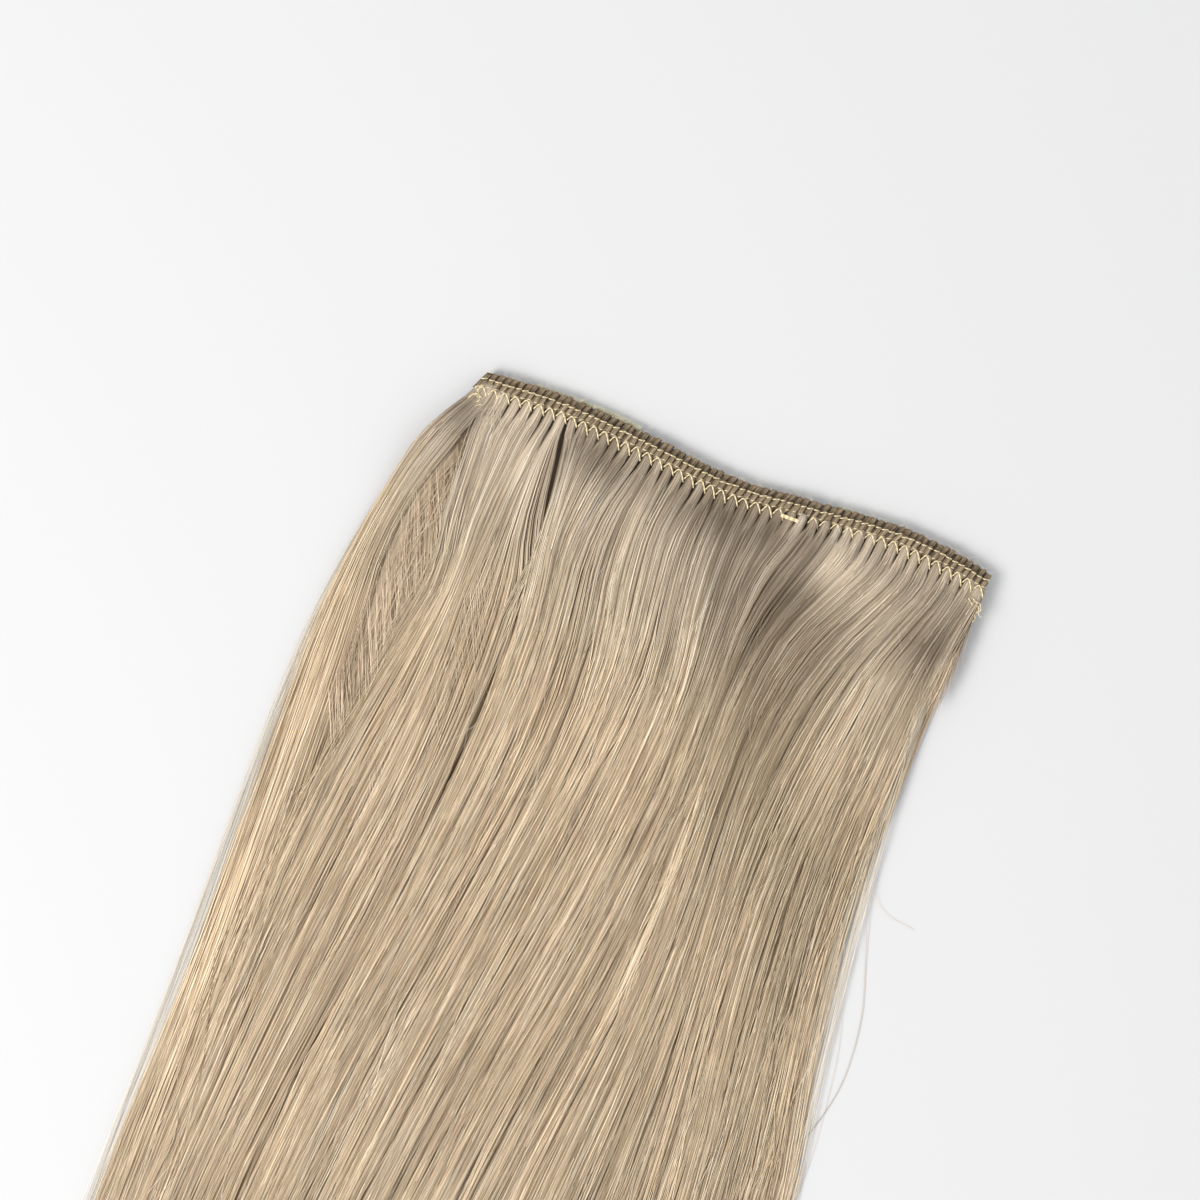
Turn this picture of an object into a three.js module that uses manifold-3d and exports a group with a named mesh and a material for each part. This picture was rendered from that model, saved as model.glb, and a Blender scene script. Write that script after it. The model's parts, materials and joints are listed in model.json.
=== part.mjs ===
// A clip-in hair weft lying flat on a table, in millimetres.
// Two sewn tracks of folded hair lie one on the other and make the band. Straight hair falls from each of
// them in locks, one lock sweeps out past the band's left end, and three comb clips are sewn under the band.
// +X runs along the band, the hair falls towards -Y, and +Z is up from the table. The origin is on the table,
// in the middle of the middle clip's bar.
import * as THREE from "three";
import { mergeVertices } from "three/addons/utils/BufferGeometryUtils.js";
import Module from "manifold-3d";

const GAP = 0.3; // between pieces that touch on the real weft

// The band
const BAND_LENGTH = 155;
const BAND_SWAY = 3; // how far its top edge bends sideways at most
const TRACK_THICKNESS = 1.7;
const TRACK_OVERHANG = 0.6; // how far a track's round edge narrows its flat faces
const LOWER_TRACK_WIDTH = 6;
const UPPER_TRACK_WIDTH = 5.9;
const TRACK_STEP = 2.3; // the upper track's top edge lies this far below the lower one's
const RIB_PITCH = 2; // of the folds along the lower track
const STITCH_PITCH = 3.4; // of the zigzag along the upper track
const STITCH_BITE = 0.25; // how deep each stitch pulls into the tracks

// The hair
const HAIR_LENGTH = 400; // from the band's top edge to the longest tips
const LOWER_LOFT = 2.8;
const UPPER_LOFT = 3.2;
const SIDE_LOCK_LOFT = 5;
const SIDE_LOCK_WIDTH = 12;
const SIDE_LOCK_CLEAR = 16; // past this distance from the band's top edge it lies beside the other hair
const ROOT_STRIP_DEPTH = 5;
const LOCK_TUCK = 1.8; // how far down its root strip a lock starts
const ROOT_RISE = 12; // below the band, over this distance, the hair opens to its full loft
const LIFT_END = 48; // from the band's top edge to where the hair's underside meets the table
const CLIP_CLEARANCE = 3; // how far the hair stays up past the clips
const LOCK_OVERLAP = 1.32; // a lock's width over its share of the band
const LOCK_STAGGER = 0.22; // every second lock lies this much higher
const STRIP_FILL = 0.8; // the root strip's height, of the hair's
const STRIP_STEPS = 16;

// The clips
const CLIP_LENGTH = 32;
const CLIP_DEPTH = 12.5;
const CLIP_HEIGHT = 2.1;
const CLIP_BOW = 0.8; // the rise of the bar's curved top edge
const CLIP_BAR_DEPTH = 4;
const CLIP_RIM = 2.4;
const CLIP_SHEET = 0.8;
const CLIP_CORNER = 4;
const CLIP_ARC_SIDES = 4;
const CLIP_TEETH = 6;
const TOOTH_ROOT_WIDTH = 2;
const TOOTH_TIP_WIDTH = 1.1;
const TOOTH_LENGTH = 7.2;
const SEWING_HOLE_RADIUS = 0.6;
const SEWING_HOLE_SPACING = 7;
const SEWING_HOLES = 4;

// Where each clip sits: its place along the band as a share of the band's length from the middle, and how far
// its top edge is tucked in from the band's top edge, as a share of its depth. The left one peeps out.
const CLIPS = [
  { name: "clip_left", along: -0.297, tuck: -0.05 },
  { name: "clip_middle", along: 0, tuck: 0.06 },
  { name: "clip_right", along: 0.297, tuck: 0.06 },
];

// The band's bends: share of its length from the left end, and share of the largest bend.
const SWAY = [
  { at: 0, rise: 0 },
  { at: 0.16, rise: 0.57 },
  { at: 0.3, rise: 0.2 },
  { at: 0.5, rise: -0.6 },
  { at: 0.65, rise: 0.15 },
  { at: 0.82, rise: 1 },
  { at: 0.93, rise: 0.6 },
  { at: 1, rise: 0 },
];

// Distances down the hair at which the tables below give its drift, as shares of the hair's length.
const DRIFT_AT = [0, 0.06, 0.12, 0.2, 0.3, 0.475, 1];

// How the upper hair drifts sideways as it falls. root is a share of the band's length from its left end, and
// the drifts are shares of the band's length, one for each of DRIFT_AT after the first.
const UPPER_FLOW = [
  { root: 0.055, drift: [0.002, 0.006, 0, -0.019, -0.034, -0.03] },
  { root: 0.182, drift: [0.017, 0.036, 0.054, 0.056, 0.043, 0.01] },
  { root: 0.326, drift: [-0.022, -0.008, 0.021, 0.041, 0.02, 0] },
  { root: 0.446, drift: [-0.021, 0.021, 0.054, 0.068, 0.046, 0.005] },
  { root: 0.573, drift: [-0.029, 0.006, 0.045, 0.07, 0.034, 0.005] },
  { root: 0.684, drift: [-0.046, -0.046, -0.013, 0.026, 0.03, 0.005] },
  { root: 0.768, drift: [-0.043, -0.067, -0.043, 0.012, 0.057, 0.01] },
  { root: 0.864, drift: [-0.045, -0.069, -0.04, 0.007, 0.043, 0.01] },
  { root: 0.946, drift: [-0.028, -0.045, -0.022, -0.008, 0.023, 0.005] },
  { root: 1, drift: [0.003, 0.005, 0.009, 0.014, 0.067, 0] },
];
const LOWER_FLOW = [
  { root: 0, drift: [0.002, -0.022, -0.026, -0.012, 0.012, 0.01] },
  { root: 0.5, drift: [0, 0, 0.01, 0.03, 0.02, 0] },
  { root: 1, drift: [0, 0, 0, 0.005, 0.05, -0.01] },
];
// The side lock, whose neck is its width at the root as a share of its full width.
const SIDE_LOCK = { root: 0.017, neck: 0.42, reach: 0.99 };
const SIDE_FLOW = [{ root: SIDE_LOCK.root, drift: [-0.066, -0.09, -0.095, -0.08, -0.06, -0.04] }];

// The locks from left to right: each one's share of the fall's width, and its reach as a share of the hair's
// length.
const UPPER_LOCKS = [
  { width: 0.1, reach: 0.985 },
  { width: 0.085, reach: 0.965 },
  { width: 0.07, reach: 0.99 },
  { width: 0.1, reach: 0.975 },
  { width: 0.085, reach: 1 },
  { width: 0.075, reach: 0.98 },
  { width: 0.095, reach: 0.995 },
  { width: 0.08, reach: 0.97 },
  { width: 0.08, reach: 0.985 },
  { width: 0.075, reach: 0.96 },
  { width: 0.085, reach: 0.98 },
  { width: 0.07, reach: 0.955 },
];
const LOWER_LOCKS = [
  { width: 0.15, reach: 0.955 },
  { width: 0.14, reach: 0.975 },
  { width: 0.15, reach: 0.96 },
  { width: 0.13, reach: 0.98 },
  { width: 0.15, reach: 0.965 },
  { width: 0.14, reach: 0.975 },
  { width: 0.14, reach: 0.95 },
];
const UPPER_SPAN = { from: 0.05, to: 0.99 }; // of the band's length
const LOWER_SPAN = { from: 0.012, to: 0.985 };

// How full the hair is down its length, as a share of its loft.
const FULLNESS = [
  { at: 0, share: 0.95 },
  { at: 0.1, share: 1 },
  { at: 0.25, share: 1 },
  { at: 0.5, share: 0.88 },
  { at: 0.78, share: 0.72 },
  { at: 0.92, share: 0.5 },
  { at: 1, share: 0.16 },
];

// Where a lock's sections lie, as shares of its length from root to tip, and how wide it is there.
const SECTIONS = [
  { along: 0, width: 0.93 },
  { along: 0.025, width: 0.97 },
  { along: 0.055, width: 1 },
  { along: 0.09, width: 1 },
  { along: 0.135, width: 1 },
  { along: 0.19, width: 1 },
  { along: 0.27, width: 1 },
  { along: 0.37, width: 1.02 },
  { along: 0.48, width: 1.05 },
  { along: 0.62, width: 1.03 },
  { along: 0.78, width: 1 },
  { along: 0.9, width: 0.93 },
  { along: 0.96, width: 0.72 },
  { along: 1, width: 0.34 },
];

// The outline of a lock's section: across is a share of its half width, and up is a share of its height.
const LOCK_OUTLINE = [
  { across: -0.8, up: 0 },
  { across: 0.8, up: 0 },
  { across: 1, up: 0.55 },
  { across: 0.55, up: 0.9 },
  { across: 0, up: 1 },
  { across: -0.55, up: 0.9 },
  { across: -1, up: 0.55 },
];

const wasm = await Module();
wasm.setup();

// A smooth function through points, as cubic pieces whose slope at each point is that between its neighbours.
function curveThrough(xs, ys) {
  const last = xs.length - 1;
  const slopes = xs.map((_, i) => {
    const a = Math.max(i - 1, 0);
    const b = Math.min(i + 1, last);
    return (ys[b] - ys[a]) / (xs[b] - xs[a]);
  });
  return (x) => {
    const q = THREE.MathUtils.clamp(x, xs[0], xs[last]);
    let i = 0;
    while (i < last - 1 && q > xs[i + 1]) i += 1;
    const h = xs[i + 1] - xs[i];
    const t = (q - xs[i]) / h;
    const rise = ys[i + 1] - ys[i];
    const start = slopes[i] * h;
    const end = slopes[i + 1] * h;
    return ys[i] + t * (start + t * (3 * rise - 2 * start - end + t * (start + end - 2 * rise)));
  };
}

// Straight lines between a table's rows, read by one column.
function between(rows, key, column, x) {
  const last = rows.length - 1;
  let i = 0;
  while (i < last - 1 && x > rows[i + 1][key]) i += 1;
  const low = rows[i];
  const high = rows[Math.min(i + 1, last)];
  if (low === high) return column(low);
  const t = THREE.MathUtils.clamp((x - low[key]) / (high[key] - low[key]), 0, 1);
  return THREE.MathUtils.lerp(column(low), column(high), t);
}

const sway = curveThrough(
  SWAY.map((row) => row.at),
  SWAY.map((row) => row.rise * BAND_SWAY),
);
// The band's top edge above its chord, at a place along X.
const bandLine = (x) => sway(x / BAND_LENGTH + 0.5);

const LOWER_TRACK_FLOOR = CLIP_HEIGHT + GAP;
const UPPER_TRACK_FLOOR = LOWER_TRACK_FLOOR + TRACK_THICKNESS + GAP;
const BAND_DEPTH = TRACK_STEP + UPPER_TRACK_WIDTH;

// A closed mesh through rings of as many points each, with a fan over each end. Each ring turns anticlockwise
// seen from the end of the loft.
function loft(rings) {
  const count = rings[0].length;
  const positions = rings.flat(2);
  const faces = [];
  for (let i = 0; i + 1 < rings.length; i += 1)
    for (let j = 0; j < count; j += 1) {
      const a = i * count + j;
      const b = i * count + ((j + 1) % count);
      faces.push(a, b, b + count, a, b + count, a + count);
    }
  const end = (rings.length - 1) * count;
  for (let j = 1; j + 1 < count; j += 1) {
    faces.push(0, j + 1, j);
    faces.push(end, end + j, end + j + 1);
  }
  return new THREE.BufferGeometry()
    .setAttribute("position", new THREE.Float32BufferAttribute(positions, 3))
    .setIndex(faces);
}

function solidOf(geometry) {
  const bare = geometry.clone();
  bare.deleteAttribute("normal");
  bare.deleteAttribute("uv");
  const merged = mergeVertices(bare, 1e-4);
  return new wasm.Manifold(
    new wasm.Mesh({
      numProp: 3,
      vertProperties: merged.attributes.position.array,
      triVerts: new Uint32Array(merged.index.array),
    }),
  );
}

function geometryOf(solid) {
  const mesh = solid.getMesh();
  return new THREE.BufferGeometry()
    .setAttribute("position", new THREE.BufferAttribute(new Float32Array(mesh.vertProperties), 3))
    .setIndex(new THREE.BufferAttribute(new Uint32Array(mesh.triVerts), 1));
}

const fused = (geometries) => geometryOf(geometries.map(solidOf).reduce((all, next) => all.add(next)));

// One sewn track: a flat bar with round edges that follows the band's line. Each stitch pulls it in.
function trackGeometry(topEdge, width, floor, pitch) {
  const stitches = Math.round(BAND_LENGTH / pitch);
  const rings = [];
  for (let i = 0; i <= 2 * stitches; i += 1) {
    const x = -BAND_LENGTH / 2 + (i * BAND_LENGTH) / (2 * stitches);
    const bite = i % 2 ? 0 : STITCH_BITE;
    const top = bandLine(x) - topEdge - bite;
    const bottom = bandLine(x) - topEdge - width + bite;
    const low = floor;
    const high = floor + TRACK_THICKNESS - bite;
    const middle = (low + high) / 2;
    rings.push([
      [x, bottom + TRACK_OVERHANG, low],
      [x, top - TRACK_OVERHANG, low],
      [x, top, middle],
      [x, top - TRACK_OVERHANG, high],
      [x, bottom + TRACK_OVERHANG, high],
      [x, bottom, middle],
    ]);
  }
  return loft(rings);
}

// The hair's heights at a distance from the band's top edge. By the band a fall is as thick as its track.
const CLIP_END = Math.max(...CLIPS.map((clip) => (1 + clip.tuck) * CLIP_DEPTH)) + CLIP_CLEARANCE;
const fullness = curveThrough(
  FULLNESS.map((row) => row.at),
  FULLNESS.map((row) => row.share),
);
const hairLoft = (distance, most) => {
  const opened = THREE.MathUtils.smoothstep(distance, BAND_DEPTH, BAND_DEPTH + ROOT_RISE);
  return THREE.MathUtils.lerp(TRACK_THICKNESS, most * fullness(distance / HAIR_LENGTH), opened);
};
const lowerFloor = (distance) =>
  LOWER_TRACK_FLOOR * (1 - THREE.MathUtils.smoothstep(distance, CLIP_END, LIFT_END));
const lowerTop = (distance) => lowerFloor(distance) + hairLoft(distance, LOWER_LOFT);
const upperFloor = (distance) => lowerTop(distance) + LOCK_STAGGER + GAP;
const upperTop = (distance) => upperFloor(distance) + hairLoft(distance, UPPER_LOFT);
const sideFloor = (distance) =>
  upperFloor(distance) * (1 - THREE.MathUtils.smoothstep(distance, SIDE_LOCK_CLEAR, LIFT_END));
const sideTop = (distance) => sideFloor(distance) + hairLoft(distance, SIDE_LOCK_LOFT);

// One lock: flat-bottomed, domed sections down the hair, from just under the band to its own tip. start and
// reach are distances from the band's top edge, and neck is the share of its width that it has at the root.
function lockGeometry({ root, width, neck = 1, start, reach, flow, floor, top, raised }) {
  const drift = curveThrough(
    DRIFT_AT,
    DRIFT_AT.map((_, i) => (i ? between(flow, "root", (row) => row.drift[i - 1], root) : 0)),
  );
  const rootX = (root - 0.5) * BAND_LENGTH;
  const rings = SECTIONS.map((section) => {
    const distance = THREE.MathUtils.lerp(start, reach, section.along);
    const at = distance / HAIR_LENGTH;
    const x = rootX + drift(at) * BAND_LENGTH;
    const y = bandLine(rootX) * (1 - at) - distance;
    const spread = THREE.MathUtils.lerp(neck, 1, THREE.MathUtils.smoothstep(at, 0, DRIFT_AT[1]));
    const half = (width * section.width * spread) / 2;
    const low = floor(distance) + raised;
    const high = top(distance) + raised - LOCK_STAGGER;
    return LOCK_OUTLINE.map(({ across, up }) => [x + half * across, y, THREE.MathUtils.lerp(low, high, up)]);
  });
  return loft(rings);
}

// The strip that the locks of a fall grow from, tucked against its track's lower edge.
function rootStripGeometry(span, start, floor, top) {
  const end = start + ROOT_STRIP_DEPTH;
  const rings = [];
  for (let i = 0; i <= STRIP_STEPS; i += 1) {
    const x = (THREE.MathUtils.lerp(span.from, span.to, i / STRIP_STEPS) - 0.5) * BAND_LENGTH;
    const line = bandLine(x);
    rings.push([
      [x, line - end, floor(end) + LOCK_STAGGER / 2],
      [x, line - start, floor(start) + LOCK_STAGGER / 2],
      [x, line - start, THREE.MathUtils.lerp(floor(start), top(start), STRIP_FILL)],
      [x, line - end, THREE.MathUtils.lerp(floor(end), top(end), STRIP_FILL)],
    ]);
  }
  return loft(rings);
}

function fallGeometry(locks, span, flow, start, floor, top) {
  const total = locks.reduce((sum, lock) => sum + lock.width, 0);
  let edge = span.from;
  const pieces = locks.map((lock, i) => {
    const share = (lock.width / total) * (span.to - span.from);
    const root = edge + share / 2;
    edge += share;
    const outer = i === 0 || i === locks.length - 1;
    return lockGeometry({
      root,
      width: share * BAND_LENGTH * (outer ? 1 : LOCK_OVERLAP),
      start: start + LOCK_TUCK,
      reach: lock.reach * HAIR_LENGTH,
      flow,
      floor,
      top,
      raised: i % 2 ? LOCK_STAGGER : 0,
    });
  });
  return fused([rootStripGeometry(span, start, floor, top), ...pieces]);
}

// A comb clip as one plain piece: a thin rim with rounded corners, a thick bar along its bowed top edge with
// sewing holes, and teeth that reach from the bar over the rim's far side.
function clipGeometry() {
  const half = CLIP_LENGTH / 2;
  const bow = (CLIP_BOW ** 2 + half ** 2) / (2 * CLIP_BOW); // the top edge's radius
  const turn = Math.asin(half / bow);
  const rim = new THREE.Shape()
    .moveTo(half, -CLIP_BOW)
    .absarc(0, -bow, bow, Math.PI / 2 - turn, Math.PI / 2 + turn, false)
    .lineTo(-half, CLIP_CORNER - CLIP_DEPTH)
    .absarc(CLIP_CORNER - half, CLIP_CORNER - CLIP_DEPTH, CLIP_CORNER, Math.PI, 1.5 * Math.PI, false)
    .absarc(half - CLIP_CORNER, CLIP_CORNER - CLIP_DEPTH, CLIP_CORNER, 1.5 * Math.PI, 2 * Math.PI, false);
  const inner = half - CLIP_RIM;
  const round = CLIP_CORNER - CLIP_RIM;
  const window = new THREE.Path()
    .moveTo(-inner, -CLIP_BAR_DEPTH)
    .lineTo(-inner, CLIP_CORNER - CLIP_DEPTH)
    .absarc(round - inner, CLIP_CORNER - CLIP_DEPTH, round, Math.PI, 1.5 * Math.PI, false)
    .absarc(inner - round, CLIP_CORNER - CLIP_DEPTH, round, 1.5 * Math.PI, 2 * Math.PI, false)
    .lineTo(inner, -CLIP_BAR_DEPTH);
  const bar = new THREE.Shape()
    .moveTo(half, -CLIP_BOW)
    .absarc(0, -bow, bow, Math.PI / 2 - turn, Math.PI / 2 + turn, false)
    .lineTo(-half, -CLIP_BAR_DEPTH)
    .lineTo(half, -CLIP_BAR_DEPTH);
  const holes = [];
  for (let i = 0; i < SEWING_HOLES; i += 1) {
    const x = (i - (SEWING_HOLES - 1) / 2) * SEWING_HOLE_SPACING;
    const hole = new THREE.Path().absarc(x, -CLIP_BAR_DEPTH / 2, SEWING_HOLE_RADIUS, 0, 2 * Math.PI, true);
    holes.push(hole);
  }
  rim.holes.push(window, ...holes);
  bar.holes.push(...holes);
  const extrude = (shape, depth) =>
    new THREE.ExtrudeGeometry(shape, { depth, bevelEnabled: false, curveSegments: CLIP_ARC_SIDES });
  const pieces = [extrude(rim, CLIP_SHEET), extrude(bar, CLIP_HEIGHT)];
  for (let i = 0; i < CLIP_TEETH; i += 1) {
    const x = ((i + 0.5) / CLIP_TEETH - 0.5) * 2 * inner;
    const foot = GAP - CLIP_BAR_DEPTH; // a little inside the bar
    const tooth = new THREE.Shape()
      .moveTo(x - TOOTH_ROOT_WIDTH / 2, foot)
      .lineTo(x - TOOTH_TIP_WIDTH / 2, -CLIP_BAR_DEPTH - TOOTH_LENGTH)
      .lineTo(x + TOOTH_TIP_WIDTH / 2, -CLIP_BAR_DEPTH - TOOTH_LENGTH)
      .lineTo(x + TOOTH_ROOT_WIDTH / 2, foot);
    pieces.push(extrude(tooth, CLIP_SHEET).translate(0, 0, CLIP_HEIGHT - CLIP_SHEET));
  }
  return fused(pieces);
}

const DARK_HAIR = new THREE.MeshStandardMaterial({ color: 0x8f7f62, roughness: 0.6, metalness: 0 });
const FOLDED_HAIR = new THREE.MeshStandardMaterial({ color: 0xa8977a, roughness: 0.55, metalness: 0 });
const UNDER_HAIR = new THREE.MeshStandardMaterial({ color: 0xc3b191, roughness: 0.5, metalness: 0 });
const TOP_HAIR = new THREE.MeshStandardMaterial({ color: 0xd2c4a8, roughness: 0.45, metalness: 0 });
const CLIP_PAINT = new THREE.MeshStandardMaterial({ color: 0xb9b193, roughness: 0.4, metalness: 0.3 });

function named(name, geometry, material) {
  const mesh = new THREE.Mesh(geometry, material);
  mesh.name = name;
  return mesh;
}

const clipPlace = ({ along, tuck }) => {
  const x = along * BAND_LENGTH;
  return new THREE.Vector3(x, bandLine(x) - tuck * CLIP_DEPTH, 0);
};

const weft = new THREE.Group();
weft.add(
  named("lower_track", trackGeometry(0, LOWER_TRACK_WIDTH, LOWER_TRACK_FLOOR, RIB_PITCH), DARK_HAIR),
  named(
    "upper_track",
    trackGeometry(TRACK_STEP, UPPER_TRACK_WIDTH, UPPER_TRACK_FLOOR, STITCH_PITCH),
    FOLDED_HAIR,
  ),
  named(
    "lower_fall",
    fallGeometry(LOWER_LOCKS, LOWER_SPAN, LOWER_FLOW, LOWER_TRACK_WIDTH + GAP, lowerFloor, lowerTop),
    UNDER_HAIR,
  ),
  named(
    "upper_fall",
    fallGeometry(UPPER_LOCKS, UPPER_SPAN, UPPER_FLOW, BAND_DEPTH + GAP, upperFloor, upperTop),
    TOP_HAIR,
  ),
  named(
    "side_lock",
    lockGeometry({
      root: SIDE_LOCK.root,
      width: SIDE_LOCK_WIDTH,
      neck: SIDE_LOCK.neck,
      start: BAND_DEPTH + GAP,
      reach: SIDE_LOCK.reach * HAIR_LENGTH,
      flow: SIDE_FLOW,
      floor: sideFloor,
      top: sideTop,
      raised: 0,
    }),
    TOP_HAIR,
  ),
);
for (const clip of CLIPS) {
  const mesh = named(clip.name, clipGeometry(), CLIP_PAINT);
  mesh.position.copy(clipPlace(clip));
  weft.add(mesh);
}

// The origin goes to the middle of the middle clip's bar.
const middle = clipPlace(CLIPS.find((clip) => clip.name === "clip_middle"));
weft.position.set(-middle.x, CLIP_BAR_DEPTH / 2 - middle.y, 0);

const part = new THREE.Group();
part.add(weft);
export default part;
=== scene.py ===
"""A clip-in hair weft lying flat on a pale table, built around the frame of its solids.

Lengths are in metres. +X runs along the band, the hair falls towards -Y, and +Z is up from the table.
Down the hair, a place is given as its distance from the band's top edge.
"""

import json
import math

import bpy
import numpy as np
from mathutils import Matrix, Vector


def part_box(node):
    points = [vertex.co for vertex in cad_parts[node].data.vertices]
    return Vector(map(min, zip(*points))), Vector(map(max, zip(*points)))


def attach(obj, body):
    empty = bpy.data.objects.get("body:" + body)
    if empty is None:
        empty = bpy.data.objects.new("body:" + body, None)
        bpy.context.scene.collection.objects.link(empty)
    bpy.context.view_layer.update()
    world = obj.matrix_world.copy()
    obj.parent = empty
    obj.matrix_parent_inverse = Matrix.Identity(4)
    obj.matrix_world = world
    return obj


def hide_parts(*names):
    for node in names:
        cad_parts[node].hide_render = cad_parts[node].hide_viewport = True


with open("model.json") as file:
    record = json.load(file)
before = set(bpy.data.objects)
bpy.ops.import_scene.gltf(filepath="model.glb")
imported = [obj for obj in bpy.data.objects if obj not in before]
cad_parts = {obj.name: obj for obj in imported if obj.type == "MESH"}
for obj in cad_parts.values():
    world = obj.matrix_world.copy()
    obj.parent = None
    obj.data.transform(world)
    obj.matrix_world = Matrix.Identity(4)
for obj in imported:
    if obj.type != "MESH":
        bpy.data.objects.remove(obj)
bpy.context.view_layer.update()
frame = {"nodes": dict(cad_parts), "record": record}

MM = 0.001

# The table, the light and the camera
# A pale studio table under one big soft light from the lower left, with light from all round. The camera
# looks straight down from above and is turned, so that the band runs down to the right.
CAMERA_HEIGHT = 1.2
VIEW_WIDTH = 342 * MM
VIEW_CENTRE = (-22.8 * MM, -44.2 * MM)
VIEW_TURN = math.radians(21.94)
SENSOR = 36.0


def put(name, data):
    """A new object in the scene, unturned at the origin."""
    made = bpy.data.objects.new(name, data)
    bpy.context.scene.collection.objects.link(made)
    return made


camera = put("camera", bpy.data.cameras.new("camera"))
camera.location = (*VIEW_CENTRE, CAMERA_HEIGHT)
camera.rotation_euler = (0, 0, VIEW_TURN)
camera.data.sensor_width = SENSOR
camera.data.lens = SENSOR * CAMERA_HEIGHT / VIEW_WIDTH
bpy.context.scene.camera = camera


def light(name, from_point, size, power, colour):
    """A square soft light of that size at a point, turned to face the middle of the view."""
    lamp = bpy.data.lights.new(name, "AREA")
    lamp.size = size
    lamp.energy = power
    lamp.color = colour
    holder = put(name, lamp)
    holder.location = from_point
    away = np.array(from_point) - np.array([*VIEW_CENTRE, 0])
    holder.rotation_euler = (
        math.atan2(math.hypot(away[0], away[1]), away[2]),
        0,
        math.atan2(away[0], -away[1]),
    )


light("window", (-0.9, -0.95, 1.4), size=0.8, power=34, colour=(1.0, 0.985, 0.965))
light("fill", (0.9, 0.9, 1.3), size=1.6, power=7, colour=(0.97, 0.98, 1.0))

world = bpy.data.worlds.new("studio")
bpy.context.scene.world = world
world.use_nodes = True
sky = world.node_tree.nodes["Background"]
sky.inputs["Color"].default_value = (0.965, 0.975, 1.0, 1)
sky.inputs["Strength"].default_value = 0.8
bpy.context.scene.view_settings.view_transform = "Standard"


def srgb(red, green, blue):
    """The linear colour of a display colour given in 0 to 255: ((c + 0.055) / 1.055) to the power of 2.4."""
    share = np.array([red, green, blue]) / 255
    return (*np.where(share > 0.04045, ((share + 0.055) / 1.055) ** 2.4, share / 12.92), 1.0)


def shader(name, colour, **constants):
    """A material with its shader's own constants set. Gives the material, its nodes, its links and the
    shader."""
    made = bpy.data.materials.new(name)
    made.use_nodes = True
    nodes, links = made.node_tree.nodes, made.node_tree.links
    surface = nodes["Principled BSDF"]
    surface.inputs["Base Color"].default_value = colour
    for socket, value in constants.items():
        surface.inputs[socket.replace("_", " ")].default_value = value
    return made, nodes, links, surface


def ramped(nodes, links, value, tones):
    """The colour that a value between 0 and 1 picks from tones, a row of (place, colour)."""
    ramp = nodes.new("ShaderNodeValToRGB")
    while len(ramp.color_ramp.elements) < len(tones):
        ramp.color_ramp.elements.new(0.5)
    for element, (place, colour) in zip(ramp.color_ramp.elements, tones):
        element.position = place
        element.color = colour
    links.new(value, ramp.inputs["Fac"])
    return ramp.outputs["Color"]


def bumped(nodes, links, value, surface, strength, depth):
    """Bumps on the surface. depth is the height that a value of 1 stands for."""
    bump = nodes.new("ShaderNodeBump")
    bump.inputs["Strength"].default_value = strength
    bump.inputs["Distance"].default_value = depth
    links.new(value, bump.inputs["Height"])
    links.new(bump.outputs["Normal"], surface.inputs["Normal"])


def speckled(nodes, links, scale, detail=2):
    """Even noise between 0 and 1 over the object's own place."""
    position = nodes.new("ShaderNodeTexCoord")
    noise = nodes.new("ShaderNodeTexNoise")
    noise.inputs["Scale"].default_value = scale
    noise.inputs["Detail"].default_value = detail
    links.new(position.outputs["Object"], noise.inputs["Vector"])
    return noise.outputs["Fac"]


table_paper, nodes, links, surface = shader("table_paper", srgb(198, 198, 198), Roughness=0.75)
bumped(nodes, links, speckled(nodes, links, scale=900), surface, strength=0.05, depth=0.02 * MM)

TABLE_HALF = 3.0
TABLE_Z = -0.1 * MM
table_mesh = bpy.data.meshes.new("table")
table_mesh.from_pydata(
    [
        (-TABLE_HALF, -TABLE_HALF, TABLE_Z),
        (TABLE_HALF, -TABLE_HALF, TABLE_Z),
        (TABLE_HALF, TABLE_HALF, TABLE_Z),
        (-TABLE_HALF, TABLE_HALF, TABLE_Z),
    ],
    [],
    [(0, 1, 2, 3)],
)
table_mesh.materials.append(table_paper)
put("table", table_mesh)

# The comb clips
# Three small combs of spring steel under the band, stamped, bent and dipped in satin khaki paint. Thread
# through the four small holes in each bar holds them to the band.
clip_paint, nodes, links, surface = shader(
    "clip_paint", srgb(176, 168, 138), Metallic=0.35, Roughness=0.38, Coat_Weight=0.25, Coat_Roughness=0.2
)
paint = speckled(nodes, links, scale=1400, detail=4)
tone = ramped(nodes, links, paint, [(0.35, srgb(176, 172, 142)), (0.7, srgb(214, 212, 184))])
links.new(tone, surface.inputs["Base Color"])
bumped(nodes, links, paint, surface, strength=0.25, depth=0.03 * MM)

CLIPS = ("clip_left", "clip_middle", "clip_right")
for clip in CLIPS:
    node = frame["nodes"][clip]
    node.data.materials.clear()
    node.data.materials.append(clip_paint)


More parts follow.
